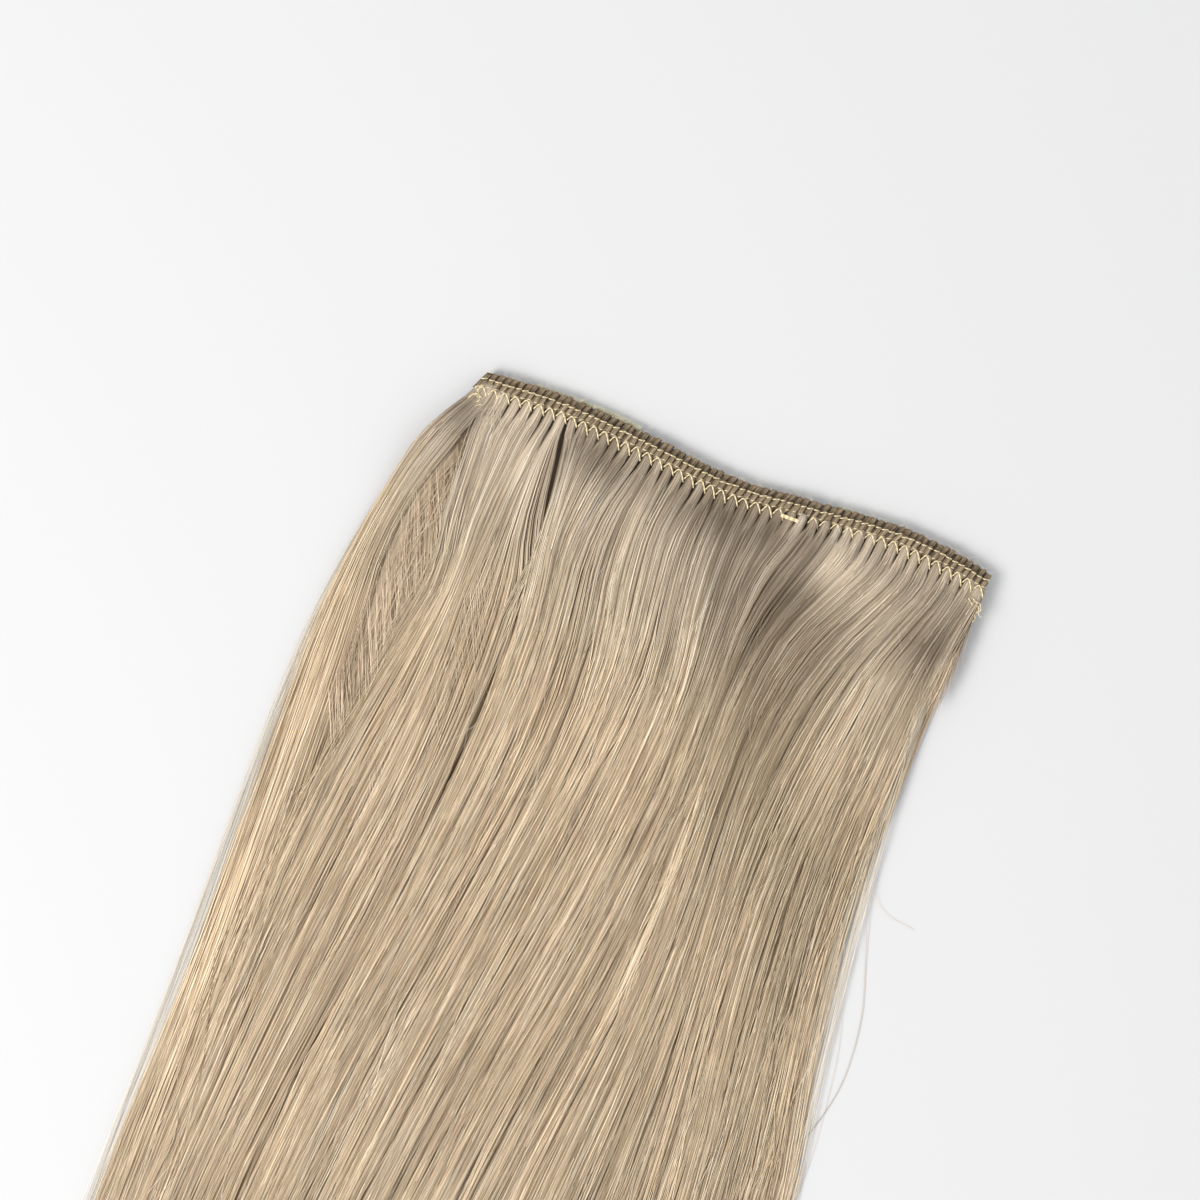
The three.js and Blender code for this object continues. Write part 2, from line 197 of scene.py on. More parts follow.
def skin(name, rings, lay, material, slot, *replaced, shade=1.0, flat=False):
    """A piece made of closed lofts. rings[n, k, m] is point m of ring k of loft n, and lay[n, k, m] its
    place on the material. Ring points join round, and ring k joins ring k + 1. One face closes each end, or
    in a flat piece a row of faces, each from two points of a ring's first half to the two opposite them. A
    ring turns anticlockwise seen against the loft's direction, so faces point out. shade is how light each
    point's hair is painted: its own tone, and painted light and shade."""
    lofts, steps, around = rings.shape[:3]
    point = np.arange(lofts * steps * around).reshape(lofts, steps, around)
    turned = np.roll(point, -1, axis=2)
    walls = np.stack([point[:, :-1], point[:, 1:], turned[:, 1:], turned[:, :-1]], axis=-1).reshape(-1)
    end_face = np.arange(around)[None]
    if flat:
        j = np.arange(around // 2 - 1)
        end_face = np.stack([j, j + 1, around - 2 - j, around - 1 - j], axis=-1)
    ends = np.concatenate([point[:, 0][:, end_face], point[:, -1][:, end_face[:, ::-1]]]).reshape(-1)
    corners = np.concatenate([walls, ends])
    starts = np.concatenate([
        np.arange(0, len(walls), 4),
        len(walls) + np.arange(0, len(ends), end_face.shape[1]),
    ])
    mesh = bpy.data.meshes.new(name)
    mesh.vertices.add(point.size)
    mesh.vertices.foreach_set("co", rings.reshape(-1))
    mesh.loops.add(len(corners))
    mesh.loops.foreach_set("vertex_index", corners)
    mesh.polygons.add(len(starts))
    mesh.polygons.foreach_set("loop_start", starts)
    mesh.update(calc_edges=True)
    mesh.uv_layers.new(name="lay").data.foreach_set("uv", lay.reshape(-1, 2)[corners].reshape(-1))
    # The shade attribute: the hair's own tone with painted light and shade.
    tone = np.broadcast_to(np.asarray(shade, np.float32), rings.shape[:3])
    own = mesh.attributes.new("shade", "FLOAT", "POINT")
    own.data.foreach_set("value", np.ascontiguousarray(tone).reshape(-1))
    mesh.shade_smooth()
    mesh.materials.append(material)
    piece = put(name, mesh)
    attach(piece, "root")
    if replaced:
        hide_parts(*replaced)
    return piece


def unit(vectors):
    """The vectors scaled to a length of 1."""
    return vectors / np.linalg.norm(vectors, axis=-1, keepdims=True)


def tube_rings(paths, across, thick, sides, side=None):
    """Rings round paths[n, k]: centre + across * cos a * side + thick * sin a * up. side is level and
    square to the path unless it is given, and up is square to both."""
    along = unit(np.gradient(paths, axis=1))
    if side is None:
        side = unit(np.cross(along, (0, 0, 1)))
    else:
        side = np.broadcast_to(side, along.shape)
    up = unit(np.cross(side, along))
    angle = np.arange(sides) * 2 * np.pi / sides
    across = np.broadcast_to(across, paths.shape[:2])[..., None, None] * np.cos(angle)[:, None]
    thick = np.broadcast_to(thick, paths.shape[:2])[..., None, None] * np.sin(angle)[:, None]
    return paths[:, :, None] + across * side[:, :, None] + thick * up[:, :, None]


def tube_lay(number, distance, sides):
    """The material place of a tube's points: its own number and the distance along it."""
    shape = (len(number), distance.shape[-1], sides)
    number = np.broadcast_to(np.asarray(number)[:, None, None], shape)
    distance = np.broadcast_to(np.broadcast_to(distance, shape[:2])[..., None], shape)
    return np.stack([number, distance], axis=-1)


# The lower track
# Hair folded in half over a cord and sewn into a flat braid, whose folds stand side by side as ribs. Its
# rolled top edge is the darkest part of the band, partly as painted shade.
RIB_PITCH = 2.0 * MM
FOLD_RADIUS = 0.5 * MM
RIB_HALF_THICK = 0.34 * MM
HAIRS_TO_A_RIB = 7
END_DROP, END_WIDTH = 0.7 * MM, 2.4 * MM

low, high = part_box("lower_track")
BAND_LEFT, BAND_RIGHT = low[0], high[0]
BAND_LENGTH = BAND_RIGHT - BAND_LEFT
LOWER_TRACK_MID = (low[2] + high[2]) / 2
TRACK_THICKNESS = high[2] - low[2]

track = frame["nodes"]["lower_track"].data
corners = np.empty(len(track.vertices) * 3)
track.vertices.foreach_get("co", corners)
corners = corners.reshape(-1, 3)
columns = np.unique(np.round(corners[:, 0], 6))
tops = np.array([corners[np.abs(corners[:, 0] - x) < 1e-5, 1].max() for x in columns])
band_x = (columns[1:] + columns[:-1]) / 2
band_y = (tops[1:] + tops[:-1]) / 2


def band_line(x):
    """The band's top edge at a place along it, read from the lower track's solid."""
    return np.interp(x, band_x, band_y)


def smooth(value, start, end):
    """0 before start, 1 after end, and t * t * (3 - 2 t) between them."""
    t = np.clip((value - start) / (end - start), 0, 1)
    return t * t * (3 - 2 * t)


def bell(value, middle, width):
    """A hump that is 1 at the middle: e to the minus ((value - middle) / width) squared."""
    return np.exp(-(((value - middle) / width) ** 2))


def wander(rng, count, distance, longest, shortest):
    """Slow wandering between about -1 and 1 down each strand: three sines of random length and phase,
    added."""
    length = rng.uniform(shortest, longest, (3, count, 1))
    phase = rng.uniform(0, 2 * np.pi, (3, count, 1))
    return np.sin(2 * np.pi * distance / length + phase).sum(axis=0) / 2


def multiplied(nodes, links, colour, value, start, end, near, far, easing="LINEAR"):
    """A colour times a second one, which goes from near to far as the value goes from start to end."""
    fade = nodes.new("ShaderNodeMapRange")
    fade.interpolation_type = easing
    fade.inputs["From Min"].default_value = start
    fade.inputs["From Max"].default_value = end
    links.new(value, fade.inputs["Value"])
    second = nodes.new("ShaderNodeMix")
    second.data_type = "RGBA"
    second.inputs["A"].default_value = near
    second.inputs["B"].default_value = far
    links.new(fade.outputs["Result"], second.inputs["Factor"])
    product = nodes.new("ShaderNodeMix")
    product.data_type = "RGBA"
    product.blend_type = "MULTIPLY"
    product.inputs["Factor"].default_value = 1
    links.new(colour, product.inputs["A"])
    links.new(second.outputs["Result"], product.inputs["B"])
    return product.outputs["Result"]


# How the shade attribute, the hair's tone with painted light and shade, turns into a colour factor.
SHADE_RANGE = (1.3, 0.3)
LIGHTEST = (1.3, 1.3, 1.3, 1)
DARKEST = (0.3, 0.269, 0.222, 1)


def streaked(name, tones, fine, coarse, along, bump_depth, tints=(), **constants):
    """Hair seen as streaks. Noise that is stretched down the hair picks a tone, and the same noise lifts
    the surface. fine and coarse are the streaks to a unit across, and along is how fast they change down
    the hair. Each tint is (start, end, colour at the start, colour at the end), and multiplies the tone by
    the distance down the hair. The piece's own shade, which holds its painted light and shade, multiplies
    it too, from LIGHTEST at 1.3 to DARKEST at 0.3, which is a little warmer."""
    made, nodes, links, surface = shader(name, tones[0][1], **constants)
    lay = nodes.new("ShaderNodeUVMap")
    lay.uv_map = "lay"
    noises = []
    for streaks in (fine, coarse):
        stretch = nodes.new("ShaderNodeMapping")
        stretch.inputs["Scale"].default_value = (streaks, along, 1)
        noise = nodes.new("ShaderNodeTexNoise")
        noise.noise_dimensions = "2D"
        noise.inputs["Scale"].default_value = 1
        noise.inputs["Detail"].default_value = 3
        noise.inputs["Roughness"].default_value = 0.6
        links.new(lay.outputs["UV"], stretch.inputs["Vector"])
        links.new(stretch.outputs["Vector"], noise.inputs["Vector"])
        noises.append(noise.outputs["Fac"])
    both = nodes.new("ShaderNodeMath")
    both.operation = "ADD"
    links.new(noises[0], both.inputs[0])
    links.new(noises[1], both.inputs[1])
    halved = nodes.new("ShaderNodeMath")
    halved.operation = "MULTIPLY"
    halved.inputs[1].default_value = 0.5
    links.new(both.outputs[0], halved.inputs[0])
    colour = ramped(nodes, links, halved.outputs[0], tones)
    parts = nodes.new("ShaderNodeSeparateXYZ")
    links.new(lay.outputs["UV"], parts.inputs["Vector"])
    for tint in tints:
        colour = multiplied(nodes, links, colour, parts.outputs["Y"], *tint, easing="SMOOTHSTEP")
    # Painted light and shade from the shade attribute multiply the colour.
    own = nodes.new("ShaderNodeAttribute")
    own.attribute_name = "shade"
    colour = multiplied(nodes, links, colour, own.outputs["Fac"], *SHADE_RANGE, LIGHTEST, DARKEST)
    links.new(colour, surface.inputs["Base Color"])
    if bump_depth:
        bumped(nodes, links, halved.outputs[0], surface, strength=1, depth=bump_depth)
    return made


# Partly painted shade: the lower track's hair is a little darker than the upper's, for the shade on its
# rolled edge.
dark_rib_hair = streaked(
    "dark_rib_hair",
    [(0.3, srgb(98, 82, 62)), (0.5, srgb(144, 125, 98)), (0.7, srgb(186, 167, 138))],
    fine=3, coarse=0.7, along=160, bump_depth=0.06 * MM, Roughness=0.5,
)


def fold_paths(centres, top, bottom, middle, lean, rise, across=0.0, lift=0.0):
    """Paths of hair folded over a track's edge. In the upright plane each runs up the top side, round the
    edge on a half circle, and back along the underside. top and bottom are its far ends, and rise is the
    edge, all from the band's line. across and lift set a hair beside and outside that line, all the way
    along."""
    turns = np.linspace(0, np.pi, 7)
    fold_y = -FOLD_RADIUS * (1 - np.sin(turns)) - RIB_HALF_THICK
    y = np.concatenate([[top, top * 0.5], fold_y, [bottom * 0.5, bottom]])
    z = FOLD_RADIUS * np.concatenate([[0.6, 1.05], np.cos(turns), [-1, -0.8]])
    out_y = np.concatenate([[0, 0], np.sin(turns), [0, 0]])
    out_z = np.concatenate([[1, 1], np.cos(turns), [-1, -1]])
    paths = np.empty((len(centres), len(y), 3))
    paths[..., 0] = centres[:, None] + lean[:, None] * (y / top - 0.4)[None] + across
    paths[..., 1] = band_line(centres)[:, None] + rise[:, None] + y + lift * out_y
    paths[..., 2] = middle + z + lift * out_z
    return paths, np.linspace(0, 0.01, len(y))


def fold_track(track, top, bottom, middle, half_width, lean, rise, material, slot, rng):
    """The ribs of a track, as flat tubes, and the hairs that lie round each of them. A hair's place across
    its rib is u, which drifts along it as the strands of a rope do, and its lift is the square root of 1 -
    u squared. The ribs near the band's ends sit lower, by two bells. The ribs under the hairs have painted
    shade, and each hair has painted shade towards its rib's sides, in the creases between ribs."""
    centres = rib_x + rng.normal(0, 0.15 * MM, ribs)
    rise = rise - END_DROP * (bell(rib_x, BAND_LEFT, END_WIDTH) + bell(rib_x, BAND_RIGHT, END_WIDTH))
    paths, down = fold_paths(centres, top, bottom, middle, lean, rise)
    swell = 1 - 0.3 * np.abs(np.linspace(-1, 1, len(down))) ** 2
    rings = tube_rings(paths, half_width[:, None] * 0.8 * swell, RIB_HALF_THICK, 8, side=(1, 0, 0))
    lay = tube_lay(rng.uniform(0, 40, ribs), down, 8)
    lay[..., 0] += np.linspace(0, 1, 8)
    # Painted shade: the ribs under the hairs are at half shade.
    skin(track + "_ribs", rings, lay, material, slot, track, shade=0.5)
    rib = np.repeat(np.arange(ribs), HAIRS_TO_A_RIB)
    u = np.tile(np.linspace(-0.85, 0.85, HAIRS_TO_A_RIB), ribs) + rng.normal(0, 0.1, len(rib))
    u = np.clip(u[:, None] + rng.uniform(0.1, 0.45, len(rib))[:, None] * np.linspace(-1, 1, len(down)), -1, 1)
    paths, down = fold_paths(
        centres[rib], top, bottom, middle, lean[rib], rise[rib],
        across=u * half_width[rib][:, None], lift=RIB_HALF_THICK * np.sqrt(1 - u**2) - 0.03 * MM,
    )
    rings = tube_rings(paths, 0.15 * MM, 0.11 * MM, 3, side=(1, 0, 0))
    # Painted shade: a hair is darker towards its rib's sides, in the creases between ribs.
    tone = np.clip(rng.normal(1.08, 0.16, len(rib)), 0.6, 1.3)[:, None, None] * (1 - 0.45 * u[..., None] ** 2)
    lay = tube_lay(rng.uniform(0, 900, len(rib)), down, 3)
    skin(track + "_hairs", rings, lay, material, slot, shade=tone)


rng = np.random.default_rng(3)
ribs = int(round(BAND_LENGTH / RIB_PITCH))
rib_x = BAND_LEFT + (np.arange(ribs) + 0.5) * BAND_LENGTH / ribs
fold_track(
    "lower_track", -5.2 * MM, -5.6 * MM, LOWER_TRACK_MID,
    half_width=RIB_PITCH * rng.uniform(0.42, 0.5, ribs),
    lean=rng.normal(-1.9 * MM, 0.35 * MM, ribs),
    rise=rng.normal(-0.05 * MM, 0.14 * MM, ribs),
    material=dark_rib_hair, slot="folded_hair_dark", rng=rng,
)


def bar(name, edge, outline, middle, material, slot):
    """The cord and hair inside a track: a bar that follows the band's line. outline gives its section, as
    the distance below the edge and the height over the middle."""
    x = np.linspace(BAND_LEFT + 0.8 * MM, BAND_RIGHT - 0.8 * MM, 80)
    outline = np.array(outline) * MM
    ring = np.empty((1, len(x), len(outline), 3))
    ring[..., 0] = x[:, None]
    ring[..., 1] = band_line(x)[:, None] - edge - outline[:, 0]
    ring[..., 2] = middle + outline[:, 1]
    lay = np.stack(np.broadcast_arrays(outline[:, 0] * 600, x[None, :, None]), axis=-1)
    skin(name, ring[:, :, ::-1], lay[:, :, ::-1], material, slot)


# Painted shade: the core is near black, as the deep shade seen in the gaps between the ribs.
painted_shade_core_hair = streaked(
    "painted_shade_core_hair",
    [(0.3, srgb(46, 36, 24)), (0.7, srgb(84, 68, 46))],
    fine=2, coarse=0.5, along=900, bump_depth=0.08 * MM, Roughness=0.7,
)
bar(
    "lower_track_core", 0.6 * MM, [(0, 0), (0.7, 0.45), (4.9, 0.45), (4.9, -0.5), (0.7, -0.5)],
    LOWER_TRACK_MID, painted_shade_core_hair, "folded_hair_dark",
)

# The upper track
# The same braid a little lower down and on top. Its folds are paler, stand apart as short columns, and bend
# down under the zigzag stitches.
TRACK_STEP = 2.3 * MM
low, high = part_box("upper_track")
UPPER_TRACK_MID = (low[2] + high[2]) / 2

rib_hair = streaked(
    "rib_hair",
    [(0.3, srgb(104, 88, 66)), (0.5, srgb(152, 134, 107)), (0.7, srgb(196, 177, 148))],
    fine=3, coarse=0.7, along=160, bump_depth=0.06 * MM, Roughness=0.46,
)
rng = np.random.default_rng(4)
fold_track(
    "upper_track", -3.3 * MM, -5.2 * MM, UPPER_TRACK_MID,
    half_width=RIB_PITCH * rng.uniform(0.36, 0.44, ribs),
    lean=rng.normal(-0.9 * MM, 0.26 * MM, ribs),
    rise=-TRACK_STEP + rng.normal(0, 0.1 * MM, ribs),
    material=rib_hair, slot="folded_hair", rng=rng,
)
# Painted shade: the upper track's core is near black too, for the gaps between its ribs.
bar(
    "upper_track_core", TRACK_STEP + 0.6 * MM,
    [(0, 0), (0.6, 0.4), (2.3, 0.4), (2.7, 0.05), (4.9, -0.3), (4.9, -0.8), (0.6, -0.8)],
    UPPER_TRACK_MID, painted_shade_core_hair, "folded_hair",
)


# How the hair lies
# Rows of places across the band, in millimetres from its middle, for one path down the hair each. The first
# column is the root, and the others are at PATH_DISTANCES.
PATH_DISTANCES = (0, 8, 15, 25, 40, 60, 85, 115, 150, 190, 250, 320, 400)
UPPER_PATHS = (
    (-69.0, -69.2, -70.2, -69.8, -68.9, -66.6, -70.8, -75.0, -77.5, -78.0, -78.0, -77.0, -77.0),
    (-60.0, -60.0, -61.2, -62.0, -62.6, -62.0, -63.2, -66.3, -69.6, -72.0, -73.5, -73.0, -73.0),
    (-54.0, -54.0, -54.9, -55.6, -56.0, -56.0, -54.5, -55.5, -59.0, -62.5, -66.5, -66.0, -65.0),
    (-50.7, -50.5, -49.8, -48.4, -45.7, -42.3, -41.2, -42.5, -45.9, -50.3, -54.0, -53.5, -53.0),
    (-50.4, -50.2, -48.5, -46.9, -45.4, -42.2, -41.1, -42.4, -45.8, -50.2, -53.9, -53.4, -52.9),
    (-44.0, -44.0, -44.2, -43.7, -42.4, -39.1, -38.4, -39.6, -43.2, -47.6, -51.4, -51.0, -50.0),
    (-36.0, -36.0, -37.4, -38.8, -39.2, -36.0, -35.0, -36.4, -40.0, -44.6, -48.0, -48.0, -47.0),
    (-28.0, -28.0, -29.6, -31.8, -32.4, -29.9, -28.6, -29.9, -34.0, -39.0, -43.0, -43.0, -42.0),
    (-20.0, -20.0, -20.8, -21.7, -20.4, -16.4, -15.4, -17.9, -22.0, -27.0, -31.5, -31.0, -30.0),
    (-10.0, -10.0, -11.2, -12.0, -10.2, -7.6, -8.2, -11.1, -15.5, -20.5, -25.0, -25.0, -24.0),
    (0.0, 0.0, -0.4, -0.5, 1.2, 4.4, 4.0, 1.7, -2.4, -7.8, -13.0, -13.0, -12.0),
    (10.0, 9.9, 9.2, 8.6, 9.4, 11.0, 11.0, 8.7, 4.9, -0.3, -5.5, -6.0, -5.0),
    (15.0, 15.0, 14.2, 12.6, 12.5, 13.5, 13.6, 11.6, 7.8, 2.6, -2.5, -2.5, -1.5),
    (21.0, 20.8, 19.1, 16.2, 15.6, 16.4, 16.6, 15.0, 11.4, 6.2, 1.5, 2.0, 3.0),
    (27.0, 27.0, 25.5, 22.4, 19.5, 19.3, 20.0, 19.2, 16.4, 11.6, 7.0, 7.0, 8.0),
    (34.0, 34.0, 32.5, 29.3, 24.7, 22.6, 23.7, 24.2, 23.0, 19.0, 15.0, 14.5, 15.0),
    (42.0, 42.0, 40.8, 36.4, 30.2, 27.0, 26.9, 28.2, 28.0, 25.6, 23.0, 22.0, 22.0),
    (50.0, 50.0, 48.9, 44.3, 37.1, 32.6, 32.0, 34.2, 35.4, 34.4, 33.0, 31.0, 30.0),
    (58.0, 58.0, 57.2, 53.0, 46.4, 41.4, 39.2, 41.0, 44.0, 46.0, 46.5, 44.0, 41.0),
    (64.0, 64.0, 63.0, 59.2, 54.0, 50.2, 47.6, 48.0, 51.5, 56.0, 58.0, 55.0, 52.0),
    (70.0, 69.9, 68.6, 65.6, 61.8, 59.9, 58.2, 58.8, 62.6, 68.0, 71.5, 69.0, 65.0),
    (74.5, 74.3, 73.0, 71.0, 69.4, 68.4, 67.6, 68.6, 73.0, 78.5, 80.5, 78.0, 73.5),
    (77.5, 77.2, 75.9, 74.9, 74.3, 73.9, 73.6, 74.6, 79.4, 86.8, 87.6, 85.0, 80.0),
)
LOWER_PATHS = (
    (-76.0, -76.0, -77.0, -80.5, -85.0, -87.0, -87.0, -85.0, -82.0, -78.5, -76.0, -76.0, -76.0),
    (-66.0, -65.5, -65.0, -65.0, -66.0, -66.0, -65.5, -65.0, -64.0, -63.0, -62.0, -63.0, -64.0),
    (-35.0, -35.0, -35.0, -35.0, -34.0, -33.0, -32.0, -31.0, -31.0, -31.0, -31.0, -32.0, -33.0),
    (0.0, 0.0, 0.0, 0.0, 0.5, 1.0, 2.0, 3.0, 3.5, 3.5, 3.0, 2.0, 1.0),
    (40.0, 40.0, 40.0, 39.5, 38.5, 38.0, 39.0, 40.5, 43.0, 45.0, 45.5, 44.0, 42.0),
    (76.5, 76.5, 76.3, 75.9, 75.3, 74.8, 74.2, 75.2, 81.6, 90.4, 91.0, 88.5, 84.0),
)
SIDE_PATHS = (
    (-76.0, -79.2, -83.4, -88.2, -91.4, -94.0, -95.5, -94.2, -92.8, -91.5, -92.0, -90.0, -88.0),
    (-72.0, -72.9, -75.2, -78.2, -82.6, -84.4, -81.4, -79.4, -78.0, -77.0, -74.0, -74.0, -76.0),
)
HAIR_LENGTH = -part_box("upper_fall")[0][1] + float(band_line(0))


def through(places, values, at):
    """A smooth curve through values[i] at places[i], as cubic pieces with the slope between each point's
    neighbours."""
    places, values = np.asarray(places, float), np.asarray(values, float)
    every = np.arange(len(places))
    before, after = np.maximum(every - 1, 0), np.minimum(every + 1, len(places) - 1)
    slopes = (values[after] - values[before]) / (places[after] - places[before])[:, None]
    i = np.clip(np.searchsorted(places, at) - 1, 0, len(places) - 2)
    span = (places[i + 1] - places[i])[:, None]
    t = np.clip((at - places[i])[:, None] / span, 0, 1)
    start, end, rise = slopes[i] * span, slopes[i + 1] * span, values[i + 1] - values[i]
    return values[i] + t * (start + t * (3 * rise - 2 * start - end + t * (start + end - 2 * rise)))


def flow(paths):
    """A function that gives where the hair of a root lies at a distance down the hair. It reads a fine grid
    that is worked out once: smooth curves down each path, and smooth curves from path to path."""
    rows = np.array(paths) * MM
    roots = np.linspace(rows[0, 0], rows[-1, 0], 600)
    distances = np.linspace(0, PATH_DISTANCES[-1] * MM, 800)
    down_each = through(np.array(PATH_DISTANCES) * MM, rows.T, distances)
    grid = through(rows[:, 0], down_each.T, roots)

    def at(root, distance):
        root, distance = np.broadcast_arrays(root, distance)
        across = np.clip((root - roots[0]) / (roots[1] - roots[0]), 0, len(roots) - 1.001)
        along = np.clip(distance / distances[1], 0, len(distances) - 1.001)
        i, k = across.astype(int), along.astype(int)
        a, b = across - i, along - k
        near = grid[i, k] * (1 - b) + grid[i, k + 1] * b
        far = grid[i + 1, k] * (1 - b) + grid[i + 1, k + 1] * b
        # Past the outer paths, the hair keeps its distance from them.
        beyond = root - np.clip(root, roots[0], roots[-1])
        return near * (1 - a) + far * a + beyond

    return at


def hair_y(x_root, distance):
    """How far along Y: the distance below the band's line, whose bends die out down the hair."""
    return band_line(x_root) * (1 - 0.9 * smooth(distance, 0, 0.2)) - distance


# The lower fall
# The hair of the lower track. It lies over the clips, comes down to the table past them, and fills the gap
# beside the side lock.
CLIP_CLEAR_END = 16.5 * MM
LIFT_END = 48 * MM
LOWER_LOFT = 2.8 * MM
UPPER_LOFT = 3.2 * MM
FALL_GAP = 0.3 * MM
LOWER_TRACK_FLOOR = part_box("lower_track")[0][2]
BAND_DEPTH = 8.2 * MM


def fullness(distance):
    """How full the hair is down its length: full to a quarter, then thinning to the tips."""
    share = distance / HAIR_LENGTH
    return np.interp(share, [0, 0.1, 0.25, 0.5, 0.78, 0.92, 1], [0.95, 1, 1, 0.88, 0.72, 0.5, 0.16])


def loft(distance, most):
    """A fall's thickness: the track's at the band, which opens into most times the fullness below it."""
    opened = smooth(distance, BAND_DEPTH, BAND_DEPTH + 12 * MM)
    return TRACK_THICKNESS * (1 - opened) + most * fullness(distance) * opened


def lower_floor(distance):
    """The lower fall's underside: at the track's past the clips, then down to the table."""
    return LOWER_TRACK_FLOOR * (1 - smooth(distance, CLIP_CLEAR_END, LIFT_END))


def lower_top(x_root, distance):
    """The hair thins out towards its right edge, as the square root of the distance from it."""
    thin = np.sqrt(np.clip((77.8 * MM - x_root) / (7 * MM), 0.12, 1))
    thin = 1 + (thin - 1) * smooth(distance, 9 * MM, 32 * MM)
    return lower_floor(distance) + loft(distance, LOWER_LOFT) * thin


def upper_floor(distance):
    """The upper fall's underside, just over the lower fall."""
    return lower_floor(distance) + loft(distance, LOWER_LOFT) + FALL_GAP


EDGE_ROUNDING = 1.3 * MM
TIPS = 8 * MM
LOWER_BODY_REACH = HAIR_LENGTH * 0.96
UPPER_BODY_REACH = HAIR_LENGTH * 0.95


def sheet(
    name, lay_of, left, right, start, reach, floor, top, shade, material, slot, *replaced,
    ridges=0.3 * MM, seed=1, columns=96, rows=50,
):
    """The hair under the loose strands, as a closed slab from root to tip: its sides follow the paths, its
    underside is the floor, and its top side has ridges that run down the hair and falls off at the sides as
    a root curve. The ridges are a sine of an uneven phase across, and so is the tips' length, which is up
    to 2 * TIPS shorter."""
    rng = np.random.default_rng(seed)
    even = np.linspace(0, 1, columns)
    across = 0.6 * even + 0.4 * (0.5 - 0.5 * np.cos(np.pi * even))
    phase = np.cumsum(rng.uniform(0.5, 1.6, columns))
    tip = reach - TIPS * (1 + np.sin(np.cumsum(rng.uniform(0.4, 2.6, columns))))
    root = left + (right - left) * across
    d = start + (tip[None] - start) * np.linspace(0, 1, rows)[:, None] ** 1.25
    roots = np.broadcast_to(root, d.shape)
    x = lay_of(roots, d)
    y = hair_y(root[None], d)
    ridge = ridges * np.sin(phase)[None]
    edge = np.clip(np.minimum(root - left, right - root) / EDGE_ROUNDING, 0, 1)[None] ** 0.5
    z_low = floor(d) + 0.05 * MM + 0 * x
    z_high = z_low + np.maximum((top(roots, d) - z_low - ridges) * edge + ridge * edge, 0.15 * MM)
    upper_side = np.stack([x, y, z_high], axis=-1)
    under_side = np.stack([x, y, z_low], axis=-1)[:, ::-1]
    rings = np.concatenate([upper_side, under_side], axis=1)[None]
    lay = np.stack([roots, d], axis=-1)
    tone = np.broadcast_to(shade(x, d), d.shape)
    tone = np.concatenate([tone, tone[:, ::-1]], axis=1)[None]
    lay = np.concatenate([lay, lay[:, ::-1]], axis=1)[None]
    return skin(name, rings, lay, material, slot, *replaced, shade=tone, flat=True)


STRAND_STEPS = np.array([
    0, 1.5, 3.5, 6, 9, 13, 18, 24, 31, 39, 49, 60, 74, 90, 108, 128, 150, 174, 202, 236, 280, 335, 390,
]) / 390


def run_of(paths):
    """The distance along each path, from step to step."""
    run = np.linalg.norm(np.diff(paths, axis=1), axis=-1).cumsum(axis=1)
    return np.concatenate([np.zeros((len(paths), 1)), run], axis=1)


def strands(name, paths, number, radius, material, shade=1.0, sides=3):
    """Single strands as thin tubes that taper to the tip. shade[n, k] is how light strand n is at its step
    k."""
    steps = paths.shape[1]
    taper = np.ones(steps)
    taper[-4:] = (0.85, 0.7, 0.5, 0.25)
    radii = np.asarray(radius)[:, None] * taper
    rings = tube_rings(paths, radii, radii, sides)
    shade = np.broadcast_to(shade, paths.shape[:2])[..., None]
    skin(name, rings, tube_lay(number, run_of(paths), sides), material, "hair", shade=shade)


under_hair = streaked(
    "under_hair",
    [(0.3, srgb(132, 115, 94)), (0.5, srgb(188, 168, 142)), (0.7, srgb(219, 201, 174))],
    fine=2600, coarse=500, along=14, bump_depth=0.3 * MM, Roughness=0.5,
)
under_strand_hair = streaked(
    "under_strand_hair",
    [(0.34, srgb(150, 131, 107)), (0.5, srgb(206, 185, 157)), (0.64, srgb(237, 219, 193))],
    fine=1, coarse=0.3, along=10, bump_depth=0, Roughness=0.42,
)


def under_painted_shading(x, distance):
    """Painted shade on the hair under the upper fall, which is in its shade near the band. Less so left of
    it, where the side lock shades it, and at its right edge, which has painted light further down. A strip
    beside the side lock has painted shade from it."""
    left = 1 - smooth(x, -69 * MM, -62 * MM)
    right = smooth(x, 70 * MM, 75 * MM)
    # Painted shade under the upper fall and beside the side lock, and painted light at the thin right edge.
    covered = 0.74 * (1 - smooth(distance, 26 * MM, 48 * MM)) * (1 - left) * (1 - right)
    beside = 0.26 * left * (1 - smooth(distance, 12 * MM, 38 * MM))
    beside = beside + 0.36 * right * (1 - smooth(distance, 16 * MM, 36 * MM))
    thin = 0.3 * smooth(x, 73 * MM, 78 * MM) * smooth(distance, 36 * MM, 62 * MM)
    by_lock = 0.22 * bell(x, -83.5 * MM, 3 * MM) * bell(distance, 60 * MM, 20 * MM)
    return 0.94 - covered - beside + 0.08 * left + thin - by_lock


lower_flow = flow(LOWER_PATHS)
sheet(
    "lower_fall_body", lower_flow, -76 * MM, 74.5 * MM, 5.5 * MM, LOWER_BODY_REACH,
    lower_floor, lower_top, under_painted_shading, under_hair, "hair", "lower_fall", seed=11,
)


